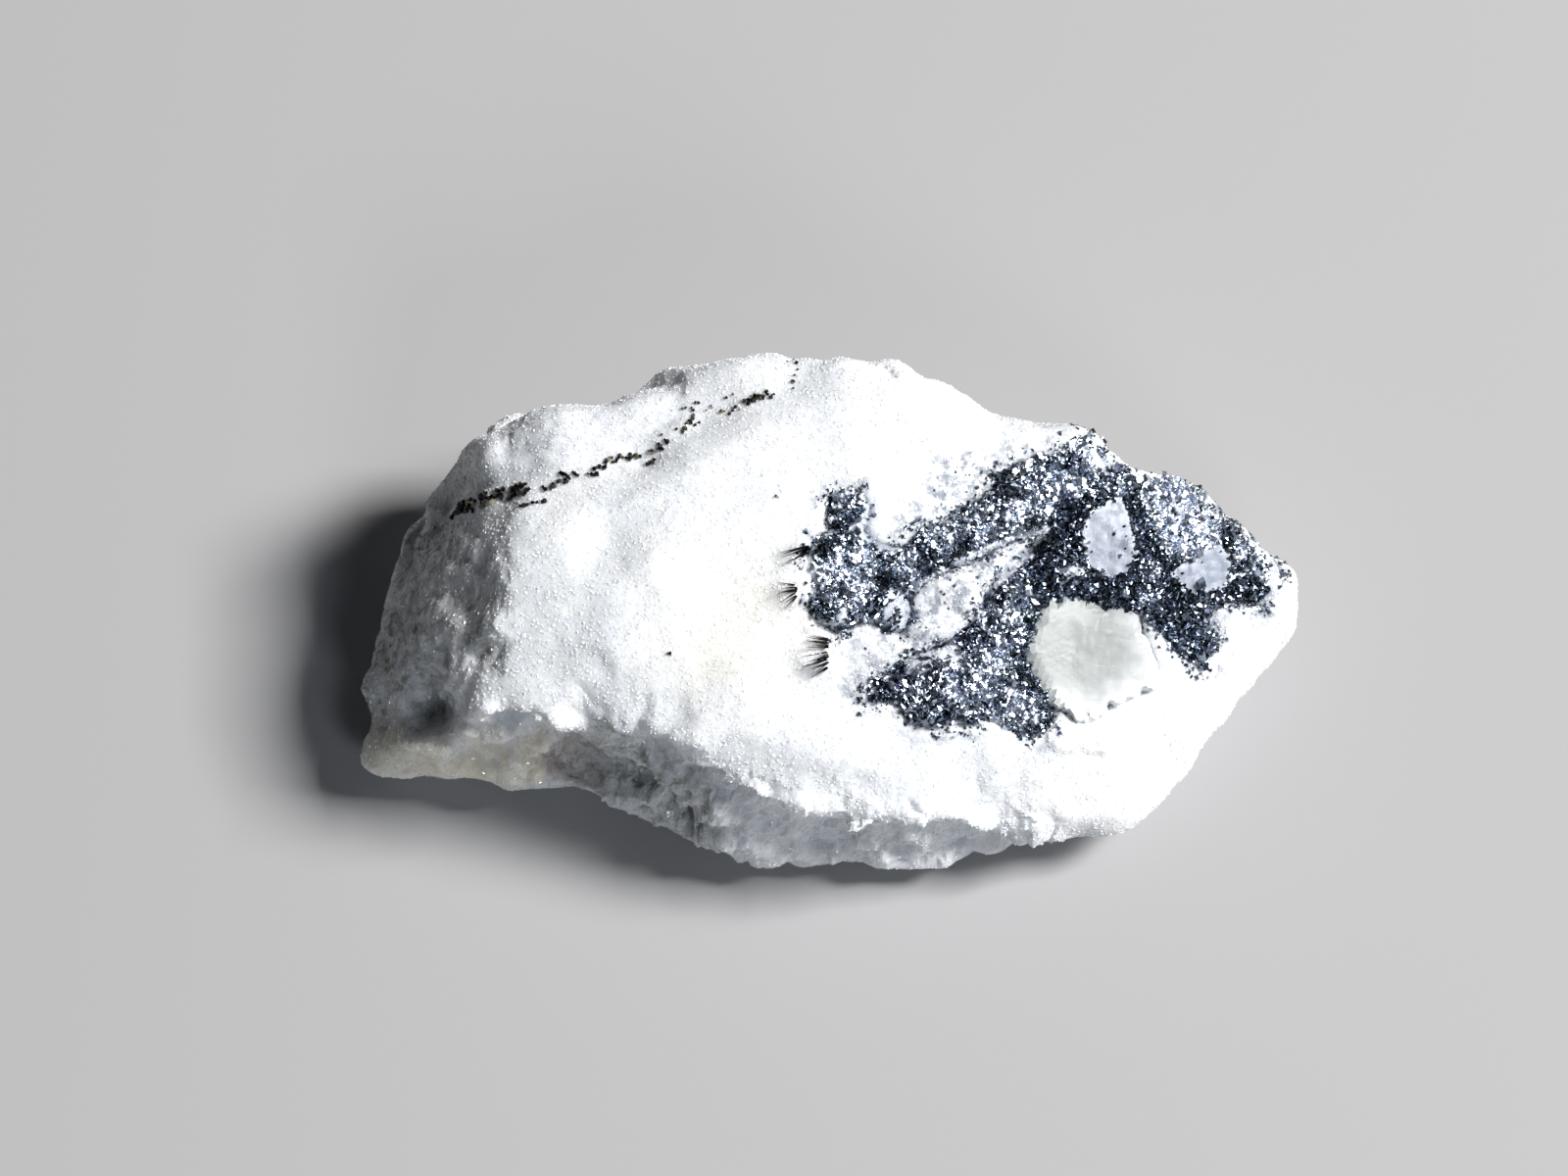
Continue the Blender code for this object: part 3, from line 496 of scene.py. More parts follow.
rock = {
    "firstVoxel": 0.3, "closing": 0.45, "voxel": 0.2, "relaxing": 7, "wearing": 40,
    "swells": 0.25, "lumps": 0.4,
    "crumbs": 0.45, "sugar": 0.035, "flatBelow": 1.4, "ragged": 0.5,
    # places pressed in (minus) or raised: across, up, radius, depth
    "strokes": (
        (-17.9, -6.3, 1.3, -0.6), (-18.6, -5.0, 1.3, -0.5), (-10.8, -8.9, 1.7, -0.8),
        (-7.6, -9.3, 1.6, -0.5), (-5.6, -11.6, 1.3, -0.4), (-5.6, 10.4, 0.9, -0.2),
        (5.2, 10.9, 0.35, -0.25), (5.2, 11.2, 0.3, -0.25), (-16.2, 1.4, 1.5, 0.3), (-17.5, -2.0, 1.6, 0.35),
        (-16.0, -4.1, 1.6, 0.4), (-14.8, 7.4, 2.4, 0.9), (-13.6, 9.2, 1.8, 0.4), (-16.2, -7.3, 0.9, 0.45),
        (-15.0, -7.3, 0.9, 0.5), (-13.8, -7.3, 0.9, 0.45), (-14.9, 1.2, 1.4, -0.1),
        (-15.3, -1.0, 1.5, -0.1), (-14.7, -3.3, 1.2, -0.15), (-7.9, -7.9, 0.8, 0.6), (-7.0, -8.9, 0.8, 0.7),
        (-6.2, -9.8, 0.8, 0.7), (-5.3, -10.7, 0.8, 0.6), (-2.5, -11.6, 2.2, 0.4), (15.5, -8.1, 0.8, -0.2),
        (-1.0, 7.5, 3.0, 0.2), (-9.0, 2.0, 2.2, -0.25), (-6.0, 0.5, 1.8, 0.2), (2.5, -8.0, 2.4, 0.2),
        (9.5, -9.6, 2.0, -0.2), (18.5, -5.5, 2.0, 0.2),
    ),
    # places brought towards the eye, which keep their outline: across, up, radius, how far
    "nearer": ((-15.3, 6.9, 2.8, 1.5), (-16.4, -1.0, 2.4, 0.6), (-17.0, -4.6, 1.8, 0.6)),
    # the same, each with a flat top
    "levelled": (
        (14.3, -7.3, 1.1, 0.2), (15.9, -7.3, 1.2, 0.3), (11.6, 1.5, 1.3, 0.5), (9.2, 0.4, 1.8, 0.5),
        (13.0, 2.6, 0.6, 0.6), (7.2, -1.0, 1.7, 0.4),
    ),
    # places slid within the picture: across, up, radius, and how far across and up
    "slides": ((-7.2, -5.6, 2.3, 0.0, -1.4), (-9.1, -5.4, 1.6, 0.0, -0.9)),
    # where it broke along cleavage, in small flat faces, and how much those tilt
    "cleaved": (
        (-7.4, -10.0, 3.4, 1.0), (-3.0, -11.9, 3.2, 1.0), (2.0, -13.0, 3.4, 0.9), (7.0, -13.4, 3.4, 0.8),
        (12.0, -13.6, 3.4, 0.7), (-12.6, -8.8, 2.6, 0.5),
    ),
    "cleavage": 0.62, "cleavageSize": 1.5,
    # where the break is crumbly
    "crumbly": (
        (-15.6, 1.0, 2.4, 0.6), (-16.0, -2.4, 2.8, 0.75), (-18.0, -1.5, 3.0, 0.6), (-18.2, -5.6, 2.4, 0.7),
        (-7.0, -10.2, 3.2, 0.9), (-2.0, -12.2, 3.4, 0.8), (4.5, -13.2, 3.6, 0.7), (11.0, -13.4, 3.4, 0.6),
        (-12.0, -9.4, 2.4, 0.8),
    ),
    # where the rock's ridges are worn soft
    "softened": (
        (-12.6, 8.6, 3.0, 1.0), (-14.4, 6.4, 3.4, 1.0), (-13.6, 3.0, 2.6, 1.0), (-14.2, 0.0, 2.6, 0.9),
        (-14.4, -3.0, 2.2, 0.8), (-3.0, 11.0, 3.0, 1.0),
    ),
    # lips with a hollow below them: the edge's bends as across and up, its depth, how far down it reaches
    "lips": (
        (
            (
                (-9.2, -6.7), (-6.0, -7.5), (-5.0, -8.7), (-3.0, -9.5), (-1.0, -10.7), (2.2, -12.0),
                (6.0, -12.2), (8.0, -11.9), (12.0, -13.0), (15.0, -12.9),
            ), 1.0, 3.2,
        ),
        (((-15.8, -6.2), (-13.0, -6.2), (-11.5, -6.9), (-10.2, -7.2), (-9.2, -6.9)), 0.8, 1.9),
        (((-17.4, -7.7), (-15.0, -7.7), (-13.0, -7.6), (-10.6, -8.1)), 0.6, 1.6),
        (((-8.6, -8.6), (-6.8, -9.8), (-5.2, -11.2), (-3.6, -13.4)), 1.0, 1.3),
    ),
}
# spots of colour on the rock and the crust: across, up, radius, strength
tints = {
    "cream": (
        (-2.4, -2.2, 5.5, 0.38), (-0.5, 0.2, 3.4, 0.22), (-20.4, -8.8, 2.2, 0.7), (-18.4, -9.2, 2.6, 0.95),
        (-15.6, -9.2, 2.6, 0.95), (-12.8, -8.8, 1.9, 0.8), (16.0, -9.5, 4.0, 0.2), (23.5, 3.0, 1.2, 0.4),
        (25.2, 1.2, 1.2, 0.4),
    ),
    "brown": (
        (-10.6, -8.8, 2.2, 0.85), (-9.4, -9.6, 1.4, 0.7), (22.4, 3.2, 0.9, 0.4), (23.8, 1.8, 0.9, 0.4),
        (24.6, 0.6, 0.7, 0.35), (8.4, -0.6, 0.6, 0.3), (1.9, -2.4, 1.0, 0.45),
    ),
    # painted shade on the far-left face, in the pits and hollows under the lips, in the front's grooves and
    # below the glassy grain, with some real greenish dirt
    "paintedShadeAndGrime": (
        (-18.0, -6.2, 1.5, 0.9), (-18.7, -4.9, 1.2, 0.7), (-17.3, -5.6, 0.9, 0.6), (-8.9, -7.6, 1.4, 0.8),
        (-7.2, -9.6, 3.0, 0.9), (-5.8, -11.4, 2.4, 0.85), (-4.2, -13.0, 1.8, 0.7), (-9.6, -9.2, 1.6, 0.6),
        (16.0, -8.1, 1.0, 0.3), (15.6, -10.6, 0.6, 0.35), (-14.9, 4.8, 1.4, 0.55), (-15.4, 0.2, 1.8, 0.6),
        (-15.8, -1.6, 2.0, 0.7), (-14.8, -3.4, 1.4, 0.65), (-19.0, 2.0, 4.2, 0.9), (-20.2, -3.0, 4.2, 0.95),
        (-16.8, 0.4, 2.4, 0.6), (-17.0, -4.0, 1.8, 0.5), (-5.6, -9.4, 1.6, 0.5), (-5.6, -8.4, 0.7, 0.55),
        (-5.1, -9.4, 0.7, 0.6), (-4.6, -10.4, 0.6, 0.6), (-6.4, -10.5, 0.8, 0.9), (-5.0, -11.7, 0.8, 0.9),
        (-3.8, -12.8, 0.8, 0.8), (-9.4, -7.4, 0.9, 0.7), (-20.8, -6.6, 2.8, 0.85), (-16.0, 5.6, 1.4, 0.5),
        (1.6, -2.1, 0.8, 0.4),
    ),
    # a lead-grey hazy tint where crystals lie below the surface; the spots on the upper left are painted
    # shade where the rock turns away from the light
    "hazeAndPaintedShade": (
        (-8.0, 9.0, 5.0, 0.2), (-13.0, 7.4, 3.2, 0.28), (-8.0, 4.5, 1.8, 0.12), (-7.6, 1.5, 1.8, 0.12),
        (-7.8, -1.6, 1.8, 0.1), (-11.6, 0.5, 2.4, 0.08), (3.0, 9.5, 4.0, 0.06), (6.0, 6.6, 2.4, 0.1),
        (16.8, 2.9, 1.6, 0.3), (5.0, 2.8, 1.5, 1.0), (9.3, 6.2, 2.0, 0.95), (8.6, 5.4, 3.0, 0.62),
        (6.4, 4.2, 2.2, 0.5), (11.4, 7.2, 2.4, 0.4), (13.4, 7.6, 1.4, 0.4), (3.4, -3.6, 2.6, 0.3),
        (6.0, -4.0, 2.0, 0.4), (24.0, 2.4, 1.2, 0.25), (22.4, -1.2, 1.2, 0.18), (7.2, -3.4, 2.2, 0.14),
        (21.4, 0.9, 2.2, 0.8), (17.4, 2.4, 1.2, 0.6), (16.2, 2.6, 1.6, 0.4), (24.8, -0.9, 1.0, 0.4),
        (11.4, 1.5, 2.2, 0.15), (9.0, 0.2, 2.4, 0.36), (7.0, -1.4, 2.2, 0.75), (16.4, 2.6, 2.0, 0.4),
        (17.6, 2.3, 1.0, 0.9), (5.4, -2.4, 2.0, 0.4), (-3.0, -5.5, 3.0, 0.05), (8.4, -1.0, 2.4, 0.16),
    ),
    # sparse crystals beyond the crust itself: across, up, radius, share
    "spill": (
        (9.8, 5.8, 1.3, 0.35), (10.5, 0.9, 1.8, 0.5), (6.2, -1.8, 0.9, 0.65), (7.5, -2.8, 0.8, 0.65),
        (5.0, -3.4, 0.35, 0.5), (6.6, -7.1, 0.35, 0.6), (5.3, 2.9, 1.2, 0.3), (8.8, -0.6, 2.0, 0.4),
        (12.7, -4.0, 0.9, 0.4), (21.5, 0.9, 1.2, 0.3), (17.6, 3.2, 0.7, 0.25), (24.2, 0.8, 0.9, 0.4),
        (4.6, -0.8, 1.2, 0.45), (20.8, -2.6, 0.9, 0.5), (12.6, -6.2, 0.6, 0.5), (13.4, -6.9, 0.5, 0.5),
        (6.6, 0.4, 1.4, 0.4), (7.6, 5.0, 1.3, 0.3),
    ),
    # where dolomite shows through the crust: outlines by their corners, how bare and how hazy they are
    "patches": (
        (
            (
                (13.9, 3.3), (11.7, 2.8), (10.0, 2.2), (8.2, 1.1), (6.3, 0.1), (5.9, -1.5), (7.8, -2.6),
                (9.9, -1.6), (10.3, -0.6), (12.2, 0.9),
            ), 1.0, 0.2,
        ),
        (
            (
                (16.5, 4.4), (17.3, 4.7), (17.7, 3.2), (18.1, 1.9), (17.5, 1.0), (16.5, 0.5), (15.5, 1.0),
                (15.1, 2.6), (15.3, 3.7),
            ), 1.0, 0.75,
        ),
        (((22.2, 2.4), (23.2, 1.3), (22.7, -0.1), (20.5, -0.3), (19.6, 0.9)), 0.9, 0.95),
        (((15.7, 7.2), (17.0, 6.2), (16.6, 5.7), (15.2, 6.4)), 0.9, 0.1),
        (
            (
                (21.6, 4.4), (22.0, 5.0), (24.5, 3.4), (26.4, 1.8), (26.4, -1.6), (23.4, -1.2),
                (24.9, -0.2), (24.8, 1.2), (23.3, 2.7),
            ), 1.0, 0.2,
        ),
        (((4.3, 3.9), (5.8, 3.6), (6.4, 2.4), (4.9, 1.8), (3.9, 2.6)), 0.85, 0.85),
    ),
    # softer pale spots in the crust
    "pale": (
        (4.0, 3.9, 0.8, 0.9), (2.6, 3.5, 0.5, 0.6), (3.9, 3.0, 0.6, 0.9), (10.2, 5.9, 1.3, 0.7),
        (15.3, 0.6, 0.9, 0.6), (5.4, -1.8, 1.5, 0.9), (3.6, -2.2, 1.0, 0.8), (6.6, -3.3, 1.3, 0.9),
        (8.3, -2.9, 1.2, 0.85), (19.8, -2.0, 0.9, 0.5), (4.1, 4.3, 0.8, 0.7), (13.2, -6.6, 0.6, 0.5),
        (6.4, -6.6, 0.8, 0.6),
    ),
    # where the crystals shine: across, up, radius, share
    "shine": (
        (2.7, 4.2, 0.9, 0.7), (15.2, 7.0, 1.3, 1.0), (14.2, 5.0, 1.1, 0.9), (12.4, 5.6, 1.4, 0.45),
        (20.0, 5.2, 1.8, 1.0), (20.8, 3.4, 2.2, 1.0), (23.9, 1.8, 1.0, 1.0), (24.7, 0.6, 0.9, 0.8),
        (23.1, 0.4, 0.7, 0.7), (3.0, 0.8, 2.1, 1.0), (1.8, 0.2, 1.3, 0.9), (3.4, -0.9, 1.3, 0.6),
        (8.2, 2.7, 1.5, 0.6), (10.2, 3.3, 1.4, 0.6), (12.2, 4.2, 1.6, 0.6), (6.0, 1.0, 1.2, 0.8),
        (9.4, -4.6, 2.2, 0.75), (11.5, -6.0, 1.7, 0.75), (6.8, -5.2, 1.6, 0.5), (11.4, -1.2, 1.5, 0.6),
        (10.6, -2.8, 1.3, 0.6), (18.4, 0.6, 1.2, 0.3), (17.2, 5.6, 1.2, 0.5), (18.2, -0.9, 1.0, 0.3),
    ),
    # and where nothing shines
    "dull": (
        (14.6, 1.6, 1.2, 0.9), (14.8, -0.2, 1.4, 0.7), (14.4, 6.2, 0.9, 0.8), (18.6, -2.6, 1.6, 0.6),
        (11.3, 2.9, 0.5, 0.8), (5.2, 0.9, 0.7, 0.5), (2.9, 2.8, 0.7, 0.6), (8.6, -5.4, 0.6, 0.7),
        (19.2, 1.6, 0.8, 0.5),
    ),
}
crust = {
    "voxel": 0.15, "swell": 0.34, "relaxing": 2, "facets": 0.22, "raggedEdge": 0.9,
    # openings that the bed closes over: their corners as across and up, and how far their rims are taken in
    "closedOver": (
        ((15.3, 4.0), (16.6, 4.8), (18.0, 3.2), (18.3, 1.6), (17.0, 0.6), (15.3, 1.0), (14.8, 2.4)),
        ((22.2, 2.2), (23.0, 1.3), (22.4, 0.0), (20.9, -0.1), (20.2, 0.9), (20.9, 1.9)),
    ),
    "rim": 0.45,
    "rockReach": 0.12, "hazeLimits": (0.12, 0.95), "sparse": 0.985, "glints": 0.12,
}
grain = {
    "voxel": 0.2, "swell": 0.6, "sunk": 0.33, "relaxing": 5, "steps": 0.06,
    "clearAt": (15.5, -3.8), "clearWithin": (3.2, 3.8), "squash": 1.25, "ragged": 0.8,
    "glassyAt": (14.5, -2.8), "glassyWithin": (2.4, 6.0), "depth": 1.8, "coveredDepth": 1.3,
}
# how near to the crust and the grain the rock counts as their pocket
pocket = {"bare": 0.42, "empty": 0.28}


def hollowsUnder(lips, seen):
    # how far each lip draws in what lies just below it
    drawn = np.zeros(len(seen))
    for bends, depth, reach in lips:
        across, up = np.array(bends).T
        below = np.interp(seen[:, 0], across, up) - seen[:, 1]
        along = softStep(seen[:, 0], across[0], across[0] + 2)
        along = along * (1 - softStep(seen[:, 0], across[-1] - 1, across[-1]))
        drawn += depth * along * softStep(below, -0.1, 0.35) * (1 - softStep(below, 0.4, reach))
    return drawn


def cleavedFace(place, share):
    # the height of a small flat face that tilts its own way in each cell of a Voronoi pattern
    size = rock["cleavageSize"] * share
    cell = noise.voronoi(place / size)[1][0]
    tilt = noise.noise_vector(Vector(cell) * 7.3)
    return max(-0.8, min(0.8, (place / size - cell).dot(tilt))) * size


def clearShare(points, at, within):
    # one where the glassy grain is bare, nothing where white dolomite has grown over it
    seen = unevenly(seenFrom(points), points, grain["ragged"])
    higher = seen[:, 1] - at[1]
    away = np.hypot(seen[:, 0] - at[0], higher * np.where(higher < 0, grain["squash"], 1))
    return 1 - softStep(away, *within)


def relief(place, steep, crumbly, cleaved):
    # how far the rock stands out at a place, from its broad swells down to its sugary grain
    broken = 0.35 + 1.3 * max(0, noise.noise(place * 0.16) + 0.35)
    lumps = 2 * abs(noise.noise(place * 0.42)) + 0.5 * abs(noise.noise(place * 0.95))
    lumps += 0.1 * noise.fractal(place * 1.6, 1.0, 2.0, 3)
    height = rock["swells"] * noise.noise(place * 0.3) + rock["lumps"] * (lumps - 0.5) * steep * broken
    height += rock["sugar"] * (0.6 - noise.voronoi(place * 1.3)[0][0])
    crumbs = abs(noise.noise(place * 0.62)) + 0.5 * abs(noise.noise(place * 1.3))
    crumbs += 0.42 * abs(noise.noise(place * 2.5))
    height += rock["crumbs"] * (crumbs - 0.42) * crumbly
    if cleaved > 0:
        height += rock["cleavage"] * cleaved * (cleavedFace(place, 1.0) + 0.6 * cleavedFace(place, 0.45))
    return height


def closedRock():
    # the matrix with its small crystals' grooves closed, and its pocket filled where white covers the grain
    small = [node for node in frame["nodes"] if node.startswith(("pyrite", "needle"))]
    filling = voxelFuse(copyOfNodes("filling", "glassy_dolomite_grain"), rock["voxel"])
    points = pointsOf(filling.data)
    bare = clearShare(points, grain["clearAt"], grain["clearWithin"])
    setPoints(filling.data, points - np.array(toEye) * bare[:, None] * grain["depth"] * mm)
    piece = joinMeshes("dolomite_rock", [copyOfNodes("matrix", "dolomite_matrix", *small), filling])
    voxelFuse(piece, rock["firstVoxel"])
    voxelFuse(grow(piece, rock["closing"]), rock["firstVoxel"])
    voxelFuse(grow(piece, -rock["closing"]), rock["voxel"])
    return relax(piece, rock["relaxing"])


def makeRock():
    piece = closedRock()
    worn = spotMask(seenFrom(pointsOf(piece.data)), rock["softened"], 0.4)
    relax(piece, rock["wearing"], worn)
    mesh = piece.data
    points, normals = pointsOf(mesh), normalsOf(mesh)
    facing = facingEye(normals)
    smoothRight = 1 - 0.6 * softStep(points[:, 0] / mm, 4, 12)
    steep = softStep(1 - np.abs(normals[:, 2]), 0.15, 0.6) * smoothRight * (1 - 0.7 * worn)
    low = softStep(points[:, 2] / mm, 0.1, rock["flatBelow"])
    straight = seenFrom(points)
    seen = unevenly(straight, points, rock["ragged"])
    crumbly = spotMask(seen, rock["crumbly"], 0.5) * facing
    cleaved = spotMask(seen, rock["cleaved"], 0.5) * facing
    places = [Vector(point) for point in points / mm]
    rise = np.array([relief(*row) for row in zip(places, steep, crumbly, cleaved)])
    shaped = -hollowsUnder(rock["lips"], seen)
    for across, up, radius, depth in rock["strokes"]:
        at = seen if radius < 2 else straight
        shaped += spotMask(at, ((across, up, radius, abs(depth)),)) * math.copysign(1, depth)
    rise += shaped * facing
    nearer = np.maximum(spotMask(straight, rock["nearer"], 0.0), spotMask(straight, rock["levelled"], 0.75))
    points = points + np.array(toEye) * (nearer * facing * low * mm)[:, None]
    for across, up, radius, along, higher in rock["slides"]:
        slid = spotMask(straight, ((across, up, radius, 1.0),), 0.0) * facing * low * mm
        points = points + np.array(sightUp * higher + Vector((along, 0, 0))) * slid[:, None]
    points = points + normals * (rise * low * mm)[:, None]
    points[:, 2] = np.maximum(points[:, 2], 0)
    setPoints(mesh, points)
    finishRockValues(piece)
    return dress(piece, dolomiteLook)


def finishRockValues(piece):
    # what the materials and the scattering read: how much of each tint, of sugar and of loose crystals
    mesh = piece.data
    points, normals = pointsOf(mesh), normalsOf(mesh)
    crustAway = distanceTo(treeOf(copies["crust"]), points)
    grainAway = distanceTo(treeOf(copies["grain"]), points)
    patchy = patchiness(points, 0.9)
    near = 1 - softStep(crustAway, 0.3, 2.0)
    seen = unevenly(seenFrom(points), points, 1.0)
    facing = facingEye(normals)
    names = ("cream", "brown", "paintedShadeAndGrime", "hazeAndPaintedShade", "spill")
    spots = {name: spotMask(seen, tints[name]) * facing for name in names}
    # hazy tint near the crust and at the spots, which on the upper left is painted shade
    hazeAndPaintedShade = 0.7 * near * (0.6 + 1.2 * patchy) + 1.1 * spots["spill"] + spots["hazeAndPaintedShade"]
    inPocket = (crustAway < pocket["bare"]) | (grainAway < pocket["bare"])
    facingDown = softStep(-normals[:, 2], 0.75, 0.95)
    onTable = points[:, 2] < 0.25 * mm
    edge = 1 - softStep(crustAway, 0.35, 1.1)
    spill = edge * (0.45 + 1.4 * patchy) * 0.9 + 0.4 * spots["spill"] * softStep(patchy, -0.35, 0.3)
    spill[crustAway < pocket["empty"]] = 0
    setValues(mesh, "cream", spots["cream"])
    setValues(mesh, "brown", spots["brown"])
    # dark spots that are mostly painted shade, with some real dirt
    setValues(mesh, "paintedShadeAndGrime", np.clip(spots["paintedShadeAndGrime"] * (0.8 + 0.6 * patchy), 0, 1))
    setValues(mesh, "hazeAndPaintedShade", np.clip(hazeAndPaintedShade, 0, 0.85))
    setValues(mesh, "tone", np.zeros(len(points)))
    setValues(mesh, "sugar", np.where(inPocket | onTable, 0, 1 - facingDown))
    setValues(mesh, "crystals", np.clip(spill, 0, 1))


copies = {
    "crust": copyOfNodes("crust copy", "dufrenoysite_crust"),
    "grain": copyOfNodes("grain copy", "glassy_dolomite_grain"),
}
rockPiece = makeRock()
rockTree = treeOf(rockPiece)
print("rock", len(rockPiece.data.polygons))


# The crust's bed, on which the crystals stand, and the glassy grain, both fused and grown from their nodes

def lidOver(piece, corners, rim):
    # a flat lid across an opening: the hull of the points along its rim that face the eye
    points = pointsOf(piece.data)
    seen = seenFrom(points)[:, :2]
    along = patchMask(seen, ((corners, 1.0),), rim)
    onRim = (along > 0.02) & (along < 0.98) & (facingEye(normalsOf(piece.data)) > 0.8)
    bm = bmesh.new()
    for point in points[onRim]:
        bm.verts.new(point)
    hull = bmesh.ops.convex_hull(bm, input=bm.verts)
    bmesh.ops.delete(bm, geom=list({*hull["geom_interior"], *hull["geom_unused"]}), context="VERTS")
    return newPiece("lid", meshOf(bm, "lid", turnOut=True))


def finishCrustValues(mesh):
    points = pointsOf(mesh)
    facing = facingEye(normalsOf(mesh))
    patchy = patchiness(points, 1.1)
    straight = seenFrom(points)
    seen = unevenly(straight, points, 0.9)
    thin = 1 - softStep(distanceTo(rockTree, points), crust["rockReach"], crust["raggedEdge"])
    thin = thin * softStep(patchy, -0.2, 0.25)
    spots = spotMask(seen, tints["pale"], 0.6) * (0.9 + 0.8 * patchy)
    inPatches = 0.75 * straight[:, :2] + 0.25 * seen
    clean = patchMask(inPatches, [(corners, share) for corners, share, hazy in tints["patches"]])
    hazy = patchMask(inPatches, [(corners, hazy) for corners, share, hazy in tints["patches"]], 0.4)
    pale = np.clip(np.maximum(np.maximum(thin, spots), clean), 0, 1)
    bare = softStep(pale, 0.25, 0.8)
    least, most = crust["hazeLimits"]
    hazeAndPaintedShade = np.maximum(least + spotMask(seen, tints["hazeAndPaintedShade"]) * (1 + patchy), hazy)
    shine = spotMask(seen, tints["shine"], 0.4) * (0.85 + 0.5 * patchy)
    shine = shine * (1 - spotMask(seen, tints["dull"], 0.3))
    setValues(mesh, "pale", pale)
    setValues(mesh, "hazeAndPaintedShade", np.clip(hazeAndPaintedShade, 0, most))
    setValues(mesh, "sugar", softStep(pale, 0.45, 0.9) * facing * (1 - softStep(hazy, 0.3, 0.7)))
    setValues(mesh, "crystals", (1 - crust["sparse"] * bare) * facing)
    setValues(mesh, "shine", np.clip(shine, 0, 1))
    setValues(mesh, "bright", np.clip(crust["glints"] + shine, 0, 1) * (1 - bare) * facing)


def makeCrustBed():
    piece = voxelFuse(copyOfNodes("crust_bed", "dufrenoysite_crust"), crust["voxel"])
    lids = [lidOver(piece, corners, crust["rim"]) for corners in crust["closedOver"]]
    piece = voxelFuse(joinMeshes("crust_bed", [piece, *lids]), crust["voxel"])
    grow(piece, crust["swell"])
    relax(piece, crust["relaxing"])
    mesh = piece.data
    points, normals = pointsOf(mesh), normalsOf(mesh)
    rise = np.array([noise.voronoi(Vector(point) * 1.5)[0][0] for point in points / mm])
    setPoints(mesh, points + normals * ((0.45 - rise) * crust["facets"] * mm)[:, None])
    finishCrustValues(mesh)
    return dress(piece, bedLook)


def makeGlassyGrain():
    piece = voxelFuse(copyOfNodes("glassy_grain", "glassy_dolomite_grain"), grain["voxel"])
    grow(piece, grain["swell"])
    relax(piece, grain["relaxing"])
    mesh = piece.data
    normals = normalsOf(mesh)
    points = pointsOf(mesh) - np.array(toEye) * grain["sunk"] * mm
    steps = np.array([math.floor(noise.noise(Vector(point) * 0.42) * 5) / 5 for point in points / mm])
    setPoints(mesh, points + normals * (steps * grain["steps"] * mm)[:, None])
    facing = facingEye(normals)
    covered = (1 - clearShare(points, grain["clearAt"], grain["clearWithin"])) * facing
    whitened = (1 - clearShare(points, grain["glassyAt"], grain["glassyWithin"])) * facing
    setPoints(mesh, pointsOf(mesh) - np.array(toEye) * covered[:, None] * grain["coveredDepth"] * mm)
    setValues(mesh, "covered", whitened)
    return dress(piece, glassLook)


crustBed = makeCrustBed()
glassyGrain = makeGlassyGrain()
for spare in copies.values():
    bpy.data.objects.remove(spare)
print("crust bed and glassy grain", len(crustBed.data.polygons), len(glassyGrain.data.polygons))


# Geometry Nodes: shapes scattered on a surface

def shapeInputs(tree, inputs):
    for name, kind in inputs:
        tree.interface.new_socket(name, in_out="INPUT", socket_type="NodeSocket" + kind)
    tree.interface.new_socket("Geometry", in_out="OUTPUT", socket_type="NodeSocketGeometry")
    return tree.nodes.new("NodeGroupInput").outputs


def randomOf(tree, kind, low, high, seed):
    # a Random Value node has its own sockets for each kind of number
    firstIn, firstOut = {"FLOAT_VECTOR": (0, 0), "FLOAT": (2, 1), "INT": (4, 2)}[kind]
    links = {firstIn: low, firstIn + 1: high, "Seed": seed}
    return addNode(tree, "FunctionNodeRandomValue", links, data_type=kind).outputs[firstOut]


def vectorOf(tree, x, y, z):
    return addNode(tree, "ShaderNodeCombineXYZ", {0: x, 1: y, 2: z}).outputs[0]


def strayOf(tree, most, seed):
    # a random step of at most that much to either side, along each axis
    least = times(tree, most, -1.0)
    low = vectorOf(tree, least, least, least)
    high = vectorOf(tree, most, most, most)
    return randomOf(tree, "FLOAT_VECTOR", low, high, seed)


def finishTree(tree, given, **placing):
    # a shape on each point, with a tone of its own, all in one mesh
    links = {socket.replace("_", " "): source for socket, source in placing.items()}
    placed = addNode(tree, "GeometryNodeInstanceOnPoints", links)
    tone = randomOf(tree, "FLOAT", 0.0, 1.0, given["Seed"])
    links = {"Geometry": placed.outputs[0], "Name": "tone", "Value": tone}
    toned = addNode(tree, "GeometryNodeStoreNamedAttribute", links, data_type="FLOAT", domain="INSTANCE")
    solid = addNode(tree, "GeometryNodeRealizeInstances", {0: toned.outputs[0]})
    links = {"Geometry": solid.outputs[0], "Material": given["Material"]}
    done = addNode(tree, "GeometryNodeSetMaterial", links)
    addNode(tree, "NodeGroupOutput", {0: done.outputs[0]})
    return tree


